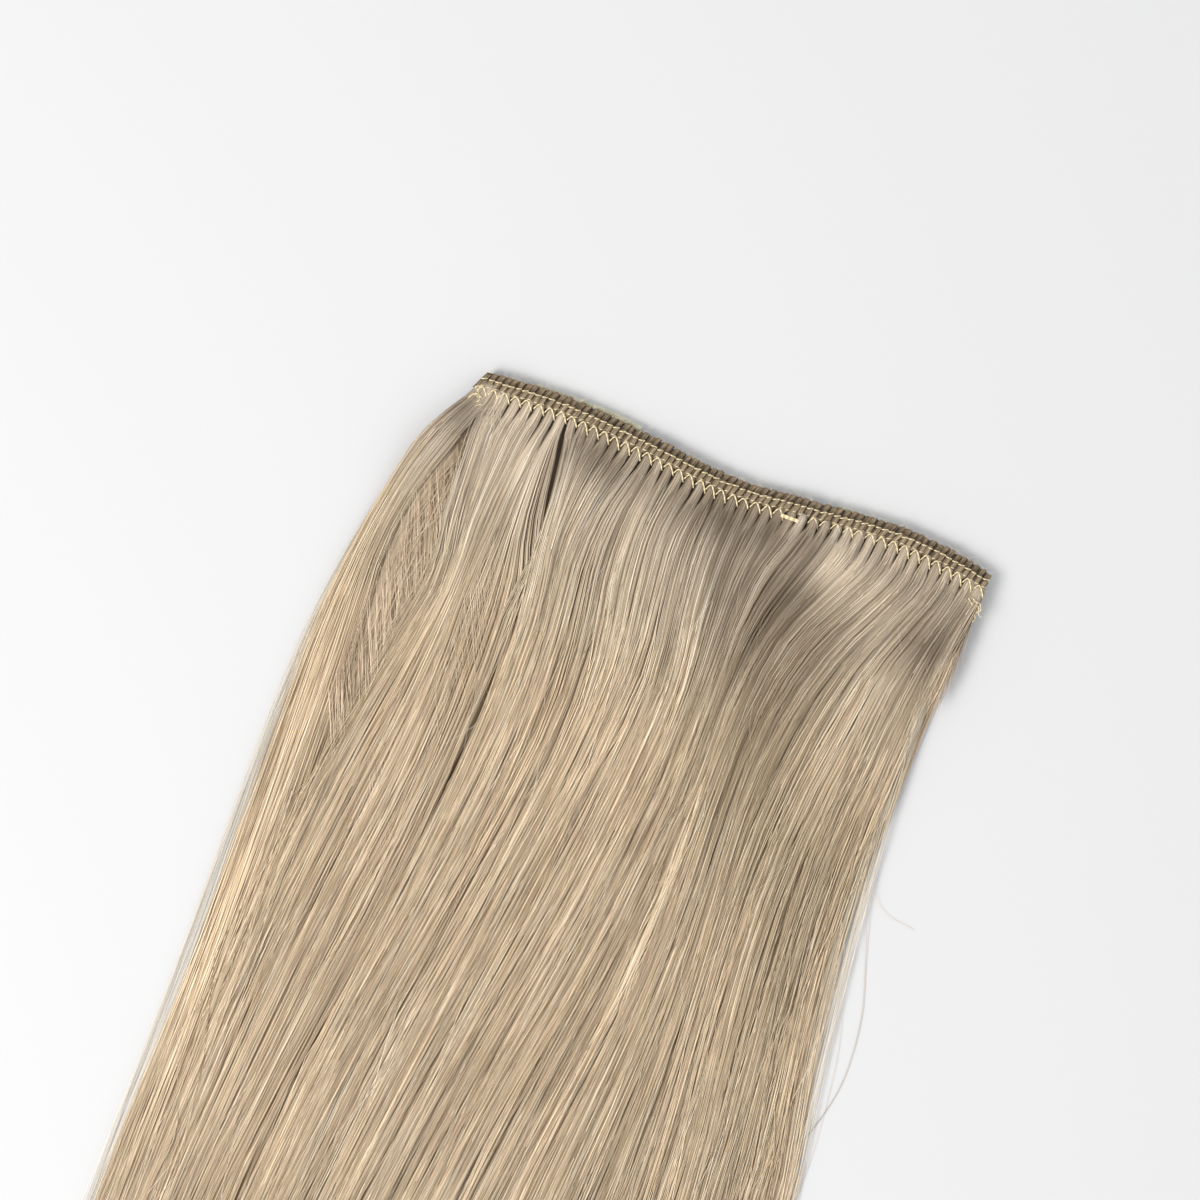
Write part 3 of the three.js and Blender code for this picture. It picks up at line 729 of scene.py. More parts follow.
def loose(rng, lay_of, roots, start, reach, floor, top, depth, spread, sway):
    """Paths of loose strands of a fall: they follow its paths, wander more and more down the hair, and lie
    between its floor and its top at their own depth."""
    count = len(roots)
    distance = start + (reach[:, None] - start) * STRAND_STEPS[None]
    free = smooth(distance, 10 * MM, 120 * MM)
    paths = np.empty((count, len(STRAND_STEPS), 3))
    paths[..., 0] = lay_of(roots[:, None], distance) + free * (
        spread[:, None] + sway[:, None] * wander(rng, count, distance, 0.32, 0.12)
    )
    paths[..., 1] = hair_y(roots[:, None], distance)
    base, height = floor(distance), top(roots[:, None], distance) - floor(distance)
    ripple = 0.12 * MM * wander(rng, count, distance, 0.1, 0.03) * free
    paths[..., 2] = base + height * depth[:, None] + ripple
    return paths, distance


# Where the lower fall's loose strands have their roots, as (left, right, how many) in millimetres.
LOWER_ROOTS = ((-76.5, -62, 220), (60, 72, 110), (72, 77.8, 190), (-62, 60, 60))
rng = np.random.default_rng(12)
roots = np.concatenate([rng.uniform(*span) for span in LOWER_ROOTS]) * MM
count = len(roots)
at_right = roots > 72 * MM
paths, distance = loose(
    rng, lower_flow, roots, 6 * MM, HAIR_LENGTH * rng.uniform(0.9, 0.99, count), lower_floor, lower_top,
    depth=np.where(at_right, rng.uniform(0.7, 1.2, count), rng.uniform(0.25, 1.02, count)),
    spread=np.clip(rng.normal(0, 1.2, count), -2.4, 2.4) * MM,
    sway=np.where(at_right, 0.5, 1) * rng.uniform(0.3, 2.4, count) * MM,
)
tone = under_painted_shading(paths[..., 0], distance) * np.clip(rng.normal(1, 0.16, count), 0.6, 1.4)[:, None]
strands(
    "lower_fall_strands", paths, rng.uniform(0, 900, count), rng.uniform(0.1, 0.16, count) * MM,
    under_strand_hair, tone,
)


# The upper fall
# The hair of the upper track. It leaves the zigzag in rounded bundles, one to a stitch, which close up
# within a finger's width into one streaky sheet. A slit stays open left of the middle, and the right side
# lies in a wave.
STITCH_PITCH = 3.4 * MM
BUNDLE_START = 4.7 * MM
SLIT_LEFT, SLIT_RIGHT = -50.7 * MM, -50.4 * MM
SLIT_MIDDLE = (SLIT_LEFT + SLIT_RIGHT) / 2

upper_flow = flow(UPPER_PATHS)

# The swell is a few broad folds down the hair: their widths across, drifts, heights and phases.
SWELL_WIDTHS = np.array([7.5, 11.3, 17.0, 26.0]) * MM
SWELL_DRIFTS = np.array([0.09, -0.13, 0.07, -0.05])
SWELL_HEIGHTS = np.array([0.16, 0.26, 0.3, 0.34]) * MM
SWELL_PHASES = np.array([0.4, 2.1, 4.0, 5.2])


def swell(x_root, distance):
    """Broad soft folds: sines of (place across + drift * distance) / width, which grow in below the
    bundles. A bell-shaped groove is where the right side's hair comes down beside the rest, and the right
    edge lies low."""
    x_root, distance = np.broadcast_arrays(x_root, distance)
    folds = sum(
        height * np.sin(2 * np.pi * (x_root + drift * distance) / width + phase)
        for width, drift, height, phase in zip(SWELL_WIDTHS, SWELL_DRIFTS, SWELL_HEIGHTS, SWELL_PHASES)
    )
    parting = bell(x_root, 19 * MM, 4 * MM) * smooth(distance, 12 * MM, 28 * MM)
    parting = parting * (1 - smooth(distance, 60 * MM, 120 * MM))
    edge = smooth(x_root, 70 * MM, 77.5 * MM) * smooth(distance, 9 * MM, 30 * MM)
    return (
        folds * smooth(distance, 10 * MM, 45 * MM) * (1 - 0.5 * smooth(distance, 0.25, 0.4))
        - 0.8 * MM * parting - 2.0 * MM * edge * fullness(distance)
    )


def wave(x_root, distance):
    """The right side's wave: a crest that slants away from the band, and a dip after it, as two bells. It
    fades out towards the right edge."""
    side = smooth(x_root, 12 * MM, 36 * MM) * (1 - 0.85 * smooth(x_root, 58 * MM, 77 * MM))
    crest_at = 17.5 * MM + 0.42 * (x_root - 43.5 * MM)
    crest_at = np.clip(crest_at, 12 * MM, 27 * MM)
    crest = 2.0 * MM * bell(distance, crest_at, 6.5 * MM)
    dip = 0.9 * MM * bell(distance, crest_at + 21 * MM, 11 * MM)
    return side * (crest - dip)


def upper_height(distance):
    """The upper fall's thickness."""
    return loft(distance, UPPER_LOFT)


def upper_body_top(x_root, distance):
    """The top of the slab under the upper fall's strands: a share of the thickness that grows below the
    bundles."""
    cover = 0.35 + 0.3 * smooth(distance, 12 * MM, 24 * MM)
    slab = upper_floor(distance) + upper_height(distance) * cover
    return slab + wave(x_root, distance) + swell(x_root, distance)


# Patches of painted light and painted shade on the hair: the middle of each patch across and down, how
# wide and long it is, and how much it adds to the shade. All lengths are in millimetres.
PAINTED_LIGHT_AND_SHADE_PATCHES = (
    (-81, 11, 8, 8, -0.46),
    (-77, 24, 4, 12, -0.22),
    (-76, 115, 3.5, 60, -0.16),
    (-88, 24, 8, 14, -0.14),
    (-84, 60, 6, 16, -0.16),
    (-88, 102, 7, 28, 0.18),
    (-89, 174, 8, 30, 0.3),
    (-69, 12, 4.5, 6, 0.42),
    (-69, 46, 5, 26, -0.08),
    (-58, 22, 8, 11, 0.24),
    (-56, 60, 10, 24, 0.06),
    (-60, 120, 12, 32, 0.14),
    (-62, 215, 26, 45, 0.08),
    (-48, 22, 3, 12, -0.22),
    (-48, 55, 3.5, 10, 0.16),
    (-38, 12, 7, 9, -0.46),
    (-45, 10, 5, 6, -0.18),
    (-36, 26, 30, 14, 0.08),
    (-27, 110, 5, 34, 0.26),
    (-20, 135, 4, 35, -0.12),
    (-41, 140, 4, 25, -0.12),
    (-33, 14, 3, 8, -0.16),
    (-22, 11, 9, 7, -0.3),
    (-10, 11, 8, 9, -0.3),
    (2, 11, 8, 11, -0.58),
    (-5, 85, 6, 45, 0.12),
    (4, 28, 4, 7, -0.2),
    (9, 33, 6, 11, -0.34),
    (15, 37, 3, 6, 0.24),
    (15, 115, 5, 35, -0.13),
    (15, 12, 5, 9, -0.46),
    (15, 50, 6, 24, -0.16),
    (24, 40, 8, 26, -0.56),
    (27, 13, 5, 5, -0.3),
    (30, 28, 6, 9, -0.3),
    (33, 61, 5, 13, -0.2),
    (28, 75, 8, 11, -0.12),
    (41, 42, 8, 14, -0.3),
    (40, 68, 8, 18, -0.26),
    (36, 17, 6, 6, 0.28),
    (51, 17, 12, 8, 0.12),
    (34, 92, 12, 20, -0.14),
    (54, 112, 9, 20, -0.14),
    (56, 33, 13, 7, -0.14),
    (64, 27, 9, 7, -0.32),
    (65, 98, 8, 38, -0.14),
    (50, 86, 5, 14, -0.16),
    (64, 52, 6, 18, 0.1),
    (72, 24, 5, 11, -0.36),
    (66, 12, 10, 6, -0.16),
    (2, 100, 9, 28, 0.06),
    (10, 195, 40, 50, -0.04),
)


def upper_painted_shading(x, distance):
    """1, less a little down the hair, plus the painted light and shade of each patch: its strength times a
    bell across and a bell down.
    """
    patches = sum(
        strength * bell(x, across * MM, wide * MM) * bell(distance, down * MM, long * MM)
        for across, down, wide, long, strength in PAINTED_LIGHT_AND_SHADE_PATCHES
    )
    return 0.97 - 0.07 * smooth(distance, 40 * MM, 120 * MM) + patches


def body_painted_shading(x, distance):
    """The slab under the strands has painted shade: it is darker than they are, most of all between the
    bundles.
    """
    return upper_painted_shading(x, distance) * (0.42 + 0.38 * smooth(distance, 12 * MM, 30 * MM))


root_tint = (0.012, 0.08, srgb(236, 239, 246), srgb(255, 253, 250))
top_hair = streaked(
    "top_hair",
    [
        (0.30, srgb(128, 108, 84)),
        (0.45, srgb(180, 158, 129)),
        (0.58, srgb(212, 192, 163)),
        (0.72, srgb(236, 219, 194)),
    ],
    fine=2600, coarse=520, along=12, bump_depth=0.35 * MM, tints=[root_tint], Roughness=0.45,
)
strand_hair = streaked(
    "strand_hair",
    [
        (0.30, srgb(140, 118, 91)),
        (0.42, srgb(190, 168, 139)),
        (0.50, srgb(217, 197, 167)),
        (0.58, srgb(235, 218, 191)),
        (0.70, srgb(249, 238, 217)),
    ],
    fine=1, coarse=0.31, along=13, bump_depth=0, tints=[root_tint], Roughness=0.32,
)

rng = np.random.default_rng(23)
bundles = int(round(BAND_LENGTH / STITCH_PITCH))
bundle_pitch = BAND_LENGTH / bundles
bundle_x = BAND_LEFT + (np.arange(bundles) + 0.5) * bundle_pitch
bundle_x[:2] = BAND_LEFT + np.array([6.0, 7.4]) * MM
bundle_half = bundle_pitch / 2
bundle_close = np.where(rng.uniform(0, 1, bundles) < 0.25, 1.5, 1) * rng.uniform(11, 17, bundles) * MM
bundle_lift = rng.normal(0, 0.18 * MM, bundles)
bundle_fill = rng.uniform(0.74, 0.88, bundles)
bundle_shade = rng.uniform(0.92, 1.06, bundles)


def bundle_width(distance, bundle):
    """A bundle's half width: pinched at the stitch, swelling under it, and joining its neighbours at its
    end."""
    pinch = 0.8 + 0.2 * smooth(distance, BUNDLE_START, 7 * MM)
    full = bundle_fill[bundle] * pinch
    closed = smooth(distance, 8 * MM, bundle_close[bundle])
    return bundle_half * (full + (1 - full) * closed), closed


distance = np.array([4.5, 5.2, 6, 7, 8.5, 10.5, 13, 16, 19.5, 24, 29, 35]) * MM
every = np.arange(bundles)[:, None]
half, closed = bundle_width(distance[None], every)
sunk = smooth(distance, 12 * MM, 30 * MM)
paths = np.empty((bundles, len(distance), 3))
paths[..., 0] = upper_flow(bundle_x[:, None], distance[None])
paths[..., 1] = hair_y(bundle_x[:, None], distance[None])
thick = upper_height(distance) * (0.3 + 0.08 * smooth(distance, BUNDLE_START, 8 * MM)) * (1 - 0.5 * sunk)
paths[..., 2] = (
    upper_floor(distance) + upper_height(distance) * 0.4 * (1 - 0.5 * sunk)
    + wave(bundle_x[:, None], distance[None]) + bundle_lift[:, None] * (1 - closed)
)
rings = tube_rings(paths, half * (0.88 - 0.2 * sunk), thick, 12)
lay = tube_lay(bundle_x, distance, 12)
lay[..., 0] += np.cos(np.arange(12) * np.pi / 6) * bundle_half
# Painted shade: the bundles are darker near the band, in the shade between them.
tone = upper_painted_shading(paths[..., 0], distance[None]) * (0.5 + 0.3 * smooth(distance, 8 * MM, 20 * MM))
skin("root_bundles", rings, lay, top_hair, "hair", shade=tone[..., None])

sheet(
    "upper_fall_left_body", upper_flow, -69 * MM, SLIT_LEFT - 0.3 * MM, 11 * MM, UPPER_BODY_REACH,
    upper_floor, upper_body_top, body_painted_shading, top_hair, "hair", "upper_fall", seed=21, columns=30,
)
sheet(
    "upper_fall_body", upper_flow, SLIT_RIGHT + 0.3 * MM, 76.5 * MM, 11 * MM, UPPER_BODY_REACH,
    upper_floor, upper_body_top, body_painted_shading, top_hair, "hair", "upper_fall", seed=22,
)

# The strands of a lock draw together and part again down the hair, and each also goes a little its own way.
STRANDS_TO_A_BUNDLE = 70
MORE_WHERE_IT_SPREADS = 44
SPREAD_BUNDLES = [6, 7, 42, 43, 44, 45]
LOCK_WIDTHS = (0.6 * MM, 2.6 * MM)
LOCK_ROWS, LOCK_REACH = 400, 0.4
STRAND_PIECES = 4
of_bundle = np.repeat(np.arange(bundles), STRANDS_TO_A_BUNDLE)
of_bundle = np.concatenate([of_bundle, np.repeat(SPREAD_BUNDLES, MORE_WHERE_IT_SPREADS)])
count = len(of_bundle)
place = rng.uniform(-1.02, 1.02, count)
centre = bundle_x[of_bundle]
own_root = centre + place * bundle_half
reach = HAIR_LENGTH * rng.uniform(0.94, 1, count) - rng.exponential(4 * MM, count)
distance = BUNDLE_START + (reach[:, None] - BUNDLE_START) * STRAND_STEPS[None]

lock_edge = BAND_LEFT + np.cumsum(rng.uniform(*LOCK_WIDTHS, 140))
of_lock = np.searchsorted(lock_edge, own_root)
locks = len(lock_edge) + 1
lock_middle = np.bincount(of_lock, own_root, locks) / np.maximum(np.bincount(of_lock, minlength=locks), 1)
lock_half = np.full(locks, 0.5 * MM)
np.maximum.at(lock_half, of_lock, np.abs(own_root - lock_middle[of_lock]))
lock_depth = rng.uniform(0.89, 1, locks)
lock_shade = rng.uniform(0.96, 1.04, locks)
lock_sway = rng.uniform(0.1, 0.9, locks) * MM
lock_run = np.linspace(0, 1, LOCK_ROWS)[None] * LOCK_REACH
lock_wander = wander(rng, locks, lock_run, 0.34, 0.13)
lock_pull = 0.14 + 0.18 * wander(rng, locks, lock_run, 0.2, 0.09)


def of_locks(table, distance):
    """Each strand's value from its lock's row, by the distance down the hair."""
    step = np.clip(distance / LOCK_REACH * (LOCK_ROWS - 1), 0, LOCK_ROWS - 1.01)
    k = step.astype(int)
    row = of_lock[:, None]
    return table[row, k] * (1 - (step - k)) + table[row, k + 1] * (step - k)


half, closed = bundle_width(distance, of_bundle[:, None])
by_slit = bell(own_root, SLIT_MIDDLE, 2.6 * MM)[:, None] * (1 - smooth(distance, 26 * MM, 42 * MM))
free = smooth(distance, 14 * MM, 100 * MM) * (1 - by_slit)
pull = of_locks(lock_pull, distance) * smooth(distance, 22 * MM, 80 * MM)
drawn_root = own_root[:, None] + (lock_middle[of_lock] - own_root)[:, None] * pull
# Below the slit, the strands of its two sides cross over and close it.
from_slit = own_root - SLIT_MIDDLE
closing = 1.5 * MM * np.sign(from_slit) * bell(from_slit, 0, 2.2 * MM)
drawn_root = drawn_root - closing[:, None] * smooth(distance, 34 * MM, 62 * MM)
gathered = upper_flow(centre[:, None], distance) + place[:, None] * half
spread_out = upper_flow(drawn_root, distance)
wild = rng.uniform(0, 1, count) < 0.16
stray = np.where(wild, rng.uniform(0.6, 2.2, count), rng.uniform(0.12, 0.45, count)) * MM
stray = stray * (1 + 2 * smooth(np.abs(own_root - 2 * MM), 68 * MM, 75 * MM))
paths = np.empty((count, len(STRAND_STEPS), 3))
paths[..., 0] = (
    gathered * (1 - closed) + spread_out * closed
    + free * (lock_sway[of_lock][:, None] * of_locks(lock_wander, distance))
    + (0.3 * closed * (1 - by_slit) + 0.7 * free) * stray[:, None] * wander(rng, count, distance, 0.16, 0.055)
)
paths[..., 1] = hair_y(centre[:, None], distance)
crown = np.sqrt(np.clip(1 - (place * 0.96) ** 2, 0, 1))[:, None]
pinch = 0.84 + 0.16 * smooth(distance, BUNDLE_START, 8 * MM)
in_bundle = (0.44 + 0.52 * crown) * pinch * rng.uniform(0.86, 1.06, count)[:, None]
rounded = 1 - ((own_root - lock_middle[of_lock]) / lock_half[of_lock]) ** 2
own_depth = rng.uniform(-0.22, 0.07, count)[:, None] + 0.07 * wander(rng, count, distance, 0.12, 0.05)
in_sheet = lock_depth[of_lock][:, None] + own_depth + 0.07 * free * (rounded[:, None] - 0.7)
paths[..., 2] = (
    upper_floor(distance)
    + upper_height(distance) * (in_bundle * (1 - closed) + in_sheet * closed)
    + bundle_lift[of_bundle][:, None] * (1 - closed)
    + wave(own_root[:, None], distance)
    + swell(own_root[:, None], distance)
)
paths[..., 2] = np.maximum(paths[..., 2], 0.3 * MM)
own_shade = np.clip(1 + rng.normal(0, 0.22, count) * (1 - 0.5 * bell(own_root, -54 * MM, 5 * MM)), 0.45, 1.45)
# Painted light and shade by place, times each strand's random tone. Strands that lie deeper in the sheet and
# strands at a bundle's sides get painted shade.
tone = upper_painted_shading(paths[..., 0], distance)
tone = tone * (bundle_shade[of_bundle] * lock_shade[of_lock] * own_shade)[:, None]
tone = tone * (1 - 0.5 * np.clip(0.86 - in_sheet, 0, 0.5) * closed)
tone = tone * (1 - 0.5 * (np.abs(place) ** 4)[:, None] * (1 - closed))
number = rng.uniform(0, 900, count)
thickness = rng.uniform(0.088, 0.145, count) * MM
keep = ~((own_root > SLIT_LEFT) & (own_root < SLIT_RIGHT))
for i in range(STRAND_PIECES):
    chosen = np.arange(count)[keep][i::STRAND_PIECES]
    name = "upper_fall_strands_%d" % (i + 1)
    strands(name, paths[chosen], number[chosen], thickness[chosen], strand_hair, tone[chosen])

# The last strands laid over the sheet cross the others at a slight angle.
rng = np.random.default_rng(24)
count, steps = 1100, 12
s = np.linspace(0, 1, steps)[None]
start = rng.uniform(11, 220, count)[:, None] * MM
distance = start + rng.uniform(26, 80, count)[:, None] * MM * s
root = rng.uniform(-71, 75.5, count)[:, None] * MM
root = root + (rng.normal(0, 2.0, count)[:, None] * s + rng.normal(0, 1.2, count)[:, None] * s**2) * MM
crossing = np.empty((count, steps, 3))
crossing[..., 0] = upper_flow(root, distance)
crossing[..., 1] = hair_y(root, distance)
crossing[..., 2] = (
    upper_floor(distance) + upper_height(distance) * (0.96 - 0.35 * (2 * s - 1) ** 4)
    + wave(root, distance) + swell(root, distance)
)
tone = upper_painted_shading(crossing[..., 0], distance) * np.clip(rng.normal(1.04, 0.24, count), 0.5, 1.4)[:, None]
keep = np.abs(root[:, 0] - SLIT_MIDDLE) > np.where(start[:, 0] < 40 * MM, 6 * MM, 0)
strands(
    "upper_fall_crossing_strands", crossing[keep], rng.uniform(0, 900, count)[keep],
    rng.uniform(0.07, 0.12, count)[keep] * MM, strand_hair, tone[keep],
)


# The side lock
# One thick lock from the band's left end. It sweeps out past the end and comes back beside the rest.
side_flow = flow(SIDE_PATHS)
SIDE_LOFT = 4.6 * MM
SIDE_BODY_SHARE = 0.7


def side_floor(distance):
    """The lock's underside: it starts as high as the upper fall and comes down to the table."""
    return upper_floor(distance) * (1 - smooth(distance, 16 * MM, LIFT_END))


def side_top(x_root, distance, share=1):
    """A share of the lock's thickness over its underside, the same all the way across."""
    return side_floor(distance) + loft(distance, SIDE_LOFT) * share + 0 * x_root


def side_body_top(x_root, distance):
    """The top of the slab under the lock's strands."""
    return side_top(x_root, distance, SIDE_BODY_SHARE)


sheet(
    "side_lock_body", side_flow, -75.3 * MM, -72.8 * MM, 6 * MM, UPPER_BODY_REACH,
    side_floor, side_body_top, body_painted_shading, top_hair, "hair", "side_lock", seed=31, columns=24,
    ridges=0.2 * MM,
)
rng = np.random.default_rng(32)
count = 440
place = rng.uniform(-1, 1, count)
roots = (-74 + 2.0 * place) * MM
reach = HAIR_LENGTH * rng.uniform(0.9, 0.99, count)
depth = rng.uniform(0.55, 1.02, count) * (0.55 + 0.45 * np.sqrt(1 - place**2))
paths, distance = loose(
    rng, side_flow, roots, 3.8 * MM, reach, side_floor, side_top,
    depth=depth, spread=rng.normal(0, 0.6 * MM, count), sway=rng.uniform(0.2, 1.6, count) * MM,
)
tone = upper_painted_shading(paths[..., 0], distance) * np.clip(rng.normal(1, 0.13, count), 0.62, 1.35)[:, None]
strands(
    "side_lock_strands", paths, rng.uniform(0, 900, count), rng.uniform(0.1, 0.15, count) * MM,
    strand_hair, tone,
)


# The band's threads
# Straw-coloured polyester sewing thread. A running stitch holds each track's folds, one zigzag stitch sits
# over each bundle, and a tack bar closes a join right of the middle.
THREAD_RADIUS = 0.175 * MM
straw_thread, nodes, links, surface = shader("straw_thread", srgb(206, 186, 138), Roughness=0.55)
lay = nodes.new("ShaderNodeUVMap")
lay.uv_map = "lay"
twist = nodes.new("ShaderNodeTexWave")
twist.bands_direction = "DIAGONAL"
twist.inputs["Scale"].default_value = 420
twist.inputs["Distortion"].default_value = 1.5
links.new(lay.outputs["UV"], twist.inputs["Vector"])
tone = ramped(nodes, links, twist.outputs["Fac"], [(0, srgb(198, 177, 130)), (1, srgb(242, 229, 190))])
links.new(tone, surface.inputs["Base Color"])
bumped(nodes, links, twist.outputs["Fac"], surface, strength=1, depth=0.04 * MM)

BAND_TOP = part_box("upper_track")[1][2]


def thread(name, paths, radius, sides=6):
    """Thread along paths, whose material place is the turn round it and the distance along it."""
    rings = tube_rings(paths, radius, radius, sides)
    lay = tube_lay(np.zeros(len(paths)), run_of(paths), sides)
    lay[..., 0] = np.arange(sides) / sides * MM
    skin(name, rings, lay, straw_thread, "thread")


def running_stitch(name, depth, top, seed, radius, length):
    """A row of short stitches along the band. Each dips into the folds at both ends, as a parabola, and
    slants."""
    rng = np.random.default_rng(seed)
    s = np.linspace(-1, 1, 8)[None]
    middle = rib_x + rng.normal(0, 0.12 * MM, ribs)
    half = length / 2 * rng.uniform(0.75, 1.15, ribs)[:, None]
    x = middle[:, None] + half * s
    y = band_line(x) - depth + rng.normal(0, 0.08 * MM, ribs)[:, None]
    y = y + half * s * rng.normal(0.22, 0.1, ribs)[:, None]
    z = top + rng.normal(0, 0.04 * MM, ribs)[:, None] - 0.42 * MM * s**2
    thread(name, np.stack([x, y, z], axis=-1), radius)


running_stitch(
    "running_stitch_top", TRACK_STEP + 0.35 * MM, BAND_TOP + 0.14 * MM, seed=41, radius=THREAD_RADIUS * 0.85,
    length=1.7 * MM,
)
running_stitch(
    "running_stitch_low", TRACK_STEP + 2.5 * MM, BAND_TOP + 0.1 * MM, seed=42, radius=THREAD_RADIUS * 0.68,
    length=1.3 * MM,
)

# The zigzag's stitches: a short left leg and a long right one, each a power of the place along it.
TACK_X, TACK_LENGTH = 15.6 * MM, 6.8 * MM
rng = np.random.default_rng(43)
t = np.linspace(-1, 1, 15)
left_leg, right_leg = np.clip(-t, 0, 1), np.clip(t, 0, 1)
apex = BAND_LEFT + (np.arange(bundles) + 0.34) * bundle_pitch + rng.normal(0, 0.12 * MM, bundles)
apex = apex[(apex < TACK_X - 0.6 * MM) | (apex > TACK_X + TACK_LENGTH - 0.4 * MM)]
tall = rng.uniform(0.85, 1.12, len(apex))[:, None]
paths = np.empty((len(apex), len(t), 3))
paths[..., 0] = apex[:, None] + (-1.15 * left_leg + 2.25 * right_leg) * MM
legs = -1.8 * left_leg**1.6 - 2.85 * right_leg**1.45
paths[..., 1] = band_line(paths[..., 0]) - 5.0 * MM + tall * legs * MM
paths[..., 2] = BAND_TOP + 0.26 * MM - 0.8 * MM * np.abs(t) ** 5
thread("zigzag_stitch", paths, THREAD_RADIUS * (1.0 + 0.15 * (t > 0)))

# The tack bar: three threads side by side, which sink in at their ends.
t = np.linspace(-1, 1, 12)
x = TACK_X + TACK_LENGTH * (t + 1) / 2
row = np.arange(3)[:, None]
paths = np.empty((3, len(t), 3))
paths[..., 0] = x
paths[..., 1] = band_line(x) - (6.3 + 0.33 * row) * MM - (x - TACK_X) * 0.1
paths[..., 2] = BAND_TOP + 0.45 * MM - 0.5 * MM * t**4 + 0.04 * MM * row
thread("tack_bar", paths, THREAD_RADIUS)

# The clips' stitches: two loops of thread come down into each hole of a clip's bar, as parabolas.
CLIP_HOLES = (-10.5 * MM, -3.5 * MM, 3.5 * MM, 10.5 * MM)
mounts = {mount["name"]: mount["pos_m"] for mount in frame["record"]["mounts"]}
holes = np.array([(mounts[clip][0] + hole, mounts[clip][1]) for clip in CLIPS for hole in CLIP_HOLES])
t = np.linspace(-1, 1, 9)
paths = np.empty((len(holes), 2, len(t), 3))
paths[..., 0] = holes[:, 0, None, None] + 0.36 * MM * t
paths[..., 1] = holes[:, 1, None, None] + np.array([-0.19, 0.19])[:, None] * MM
paths[..., 2] = (0.45 + 2.2 * t**2) * MM
thread("clip_stitches", paths.reshape(-1, len(t), 3), THREAD_RADIUS)

# Loose ends of the thread: a small tangle at the left end and two cut tails at the right end, each as
# places in millimetres that a smooth curve goes through.
THREAD_ENDS = (
    (
        (-75.2, -3.6), (-77.2, -3.0), (-78.6, -4.4), (-77.4, -5.6),
        (-75.8, -4.6), (-76.6, -2.6), (-78.2, -1.4), (-77.0, -0.6),
    ),
    (
        (-74.6, -5.2), (-76.0, -6.2), (-77.8, -6.6), (-78.8, -5.4),
        (-78.0, -3.4), (-76.4, -3.8), (-75.2, -5.4), (-74.2, -6.8),
    ),
    (
        (73.8, -4.6), (75.0, -5.6), (76.2, -6.2), (77.2, -5.8),
        (77.9, -6.8), (77.3, -8.2), (77.8, -9.4), (77.4, -10.6),
    ),
    (
        (75.0, -4.2), (76.4, -5.0), (77.3, -4.8), (78.0, -5.6),
        (78.4, -6.6), (78.0, -7.4), (78.7, -8.2), (79.3, -8.4),
    ),
)


def drawn(curves, steps):
    """Smooth curves through rows of places, at height 0, and how many places are passed at each step."""
    places = np.array(curves) * MM
    every = np.arange(places.shape[1])
    s = np.linspace(0, every[-1], steps)
    paths = np.zeros((len(curves), steps, 3))
    for axis in (0, 1):
        paths[..., axis] = through(every, places[..., axis].T, s).T
    return paths, s


paths, s = drawn(THREAD_ENDS, 44)
paths[..., 2] = BAND_TOP + (0.25 + 0.3 * np.sin(s * 1.9) - 0.05 * s) * MM
thread("thread_ends", paths, THREAD_RADIUS * 0.8)


# The loose ends
# A few single hairs that have come away: long ones over the right side, sheer ones along both edges, and
# short fuzz along the band's top edge.
fine_hair = streaked(
    "fine_hair",
    [(0.3, srgb(212, 197, 170)), (0.7, srgb(246, 237, 218))],
    fine=1, coarse=0.3, along=10, bump_depth=0, Roughness=0.4,
)
rng = np.random.default_rng(51)
count = 420
at_right = np.arange(count) % 3 > 0
side = np.where(at_right, 1, -1)
roots = np.where(at_right, rng.uniform(73, 77.6, count), rng.uniform(-76, -72, count)) * MM
outward = np.clip(rng.exponential(np.where(at_right, 3.2, 2.6) * MM, count), 0, 8 * MM) * side
reach = HAIR_LENGTH * rng.uniform(0.9, 0.99, count)
distance = BUNDLE_START + (reach[:, None] - BUNDLE_START) * STRAND_STEPS[None]
free = smooth(distance, 15 * MM, 130 * MM)
sway = rng.uniform(0.2, 1.2, count)[:, None] * MM
at_right, root = at_right[:, None], roots[:, None]
lies = np.where(at_right, upper_flow(root, distance), side_flow(root, distance))
floor = np.where(at_right, upper_floor(distance), side_floor(distance))
paths = np.empty((count, len(STRAND_STEPS), 3))
paths[..., 0] = lies + free * (outward[:, None] + sway * wander(rng, count, distance, 0.3, 0.1))
paths[..., 1] = hair_y(root, distance)
paths[..., 2] = floor * (1 - free * 0.9) + rng.uniform(0.2, 1.6, count)[:, None] * MM
# Painted shade: the sheer strands are darker near the band.
strands(
    "sheer_strands", paths, rng.uniform(0, 900, count), rng.uniform(0.06, 0.09, count) * MM, fine_hair,
    0.66 + 0.34 * smooth(distance, 36 * MM, 80 * MM),
)


SHORT_STEPS = 9


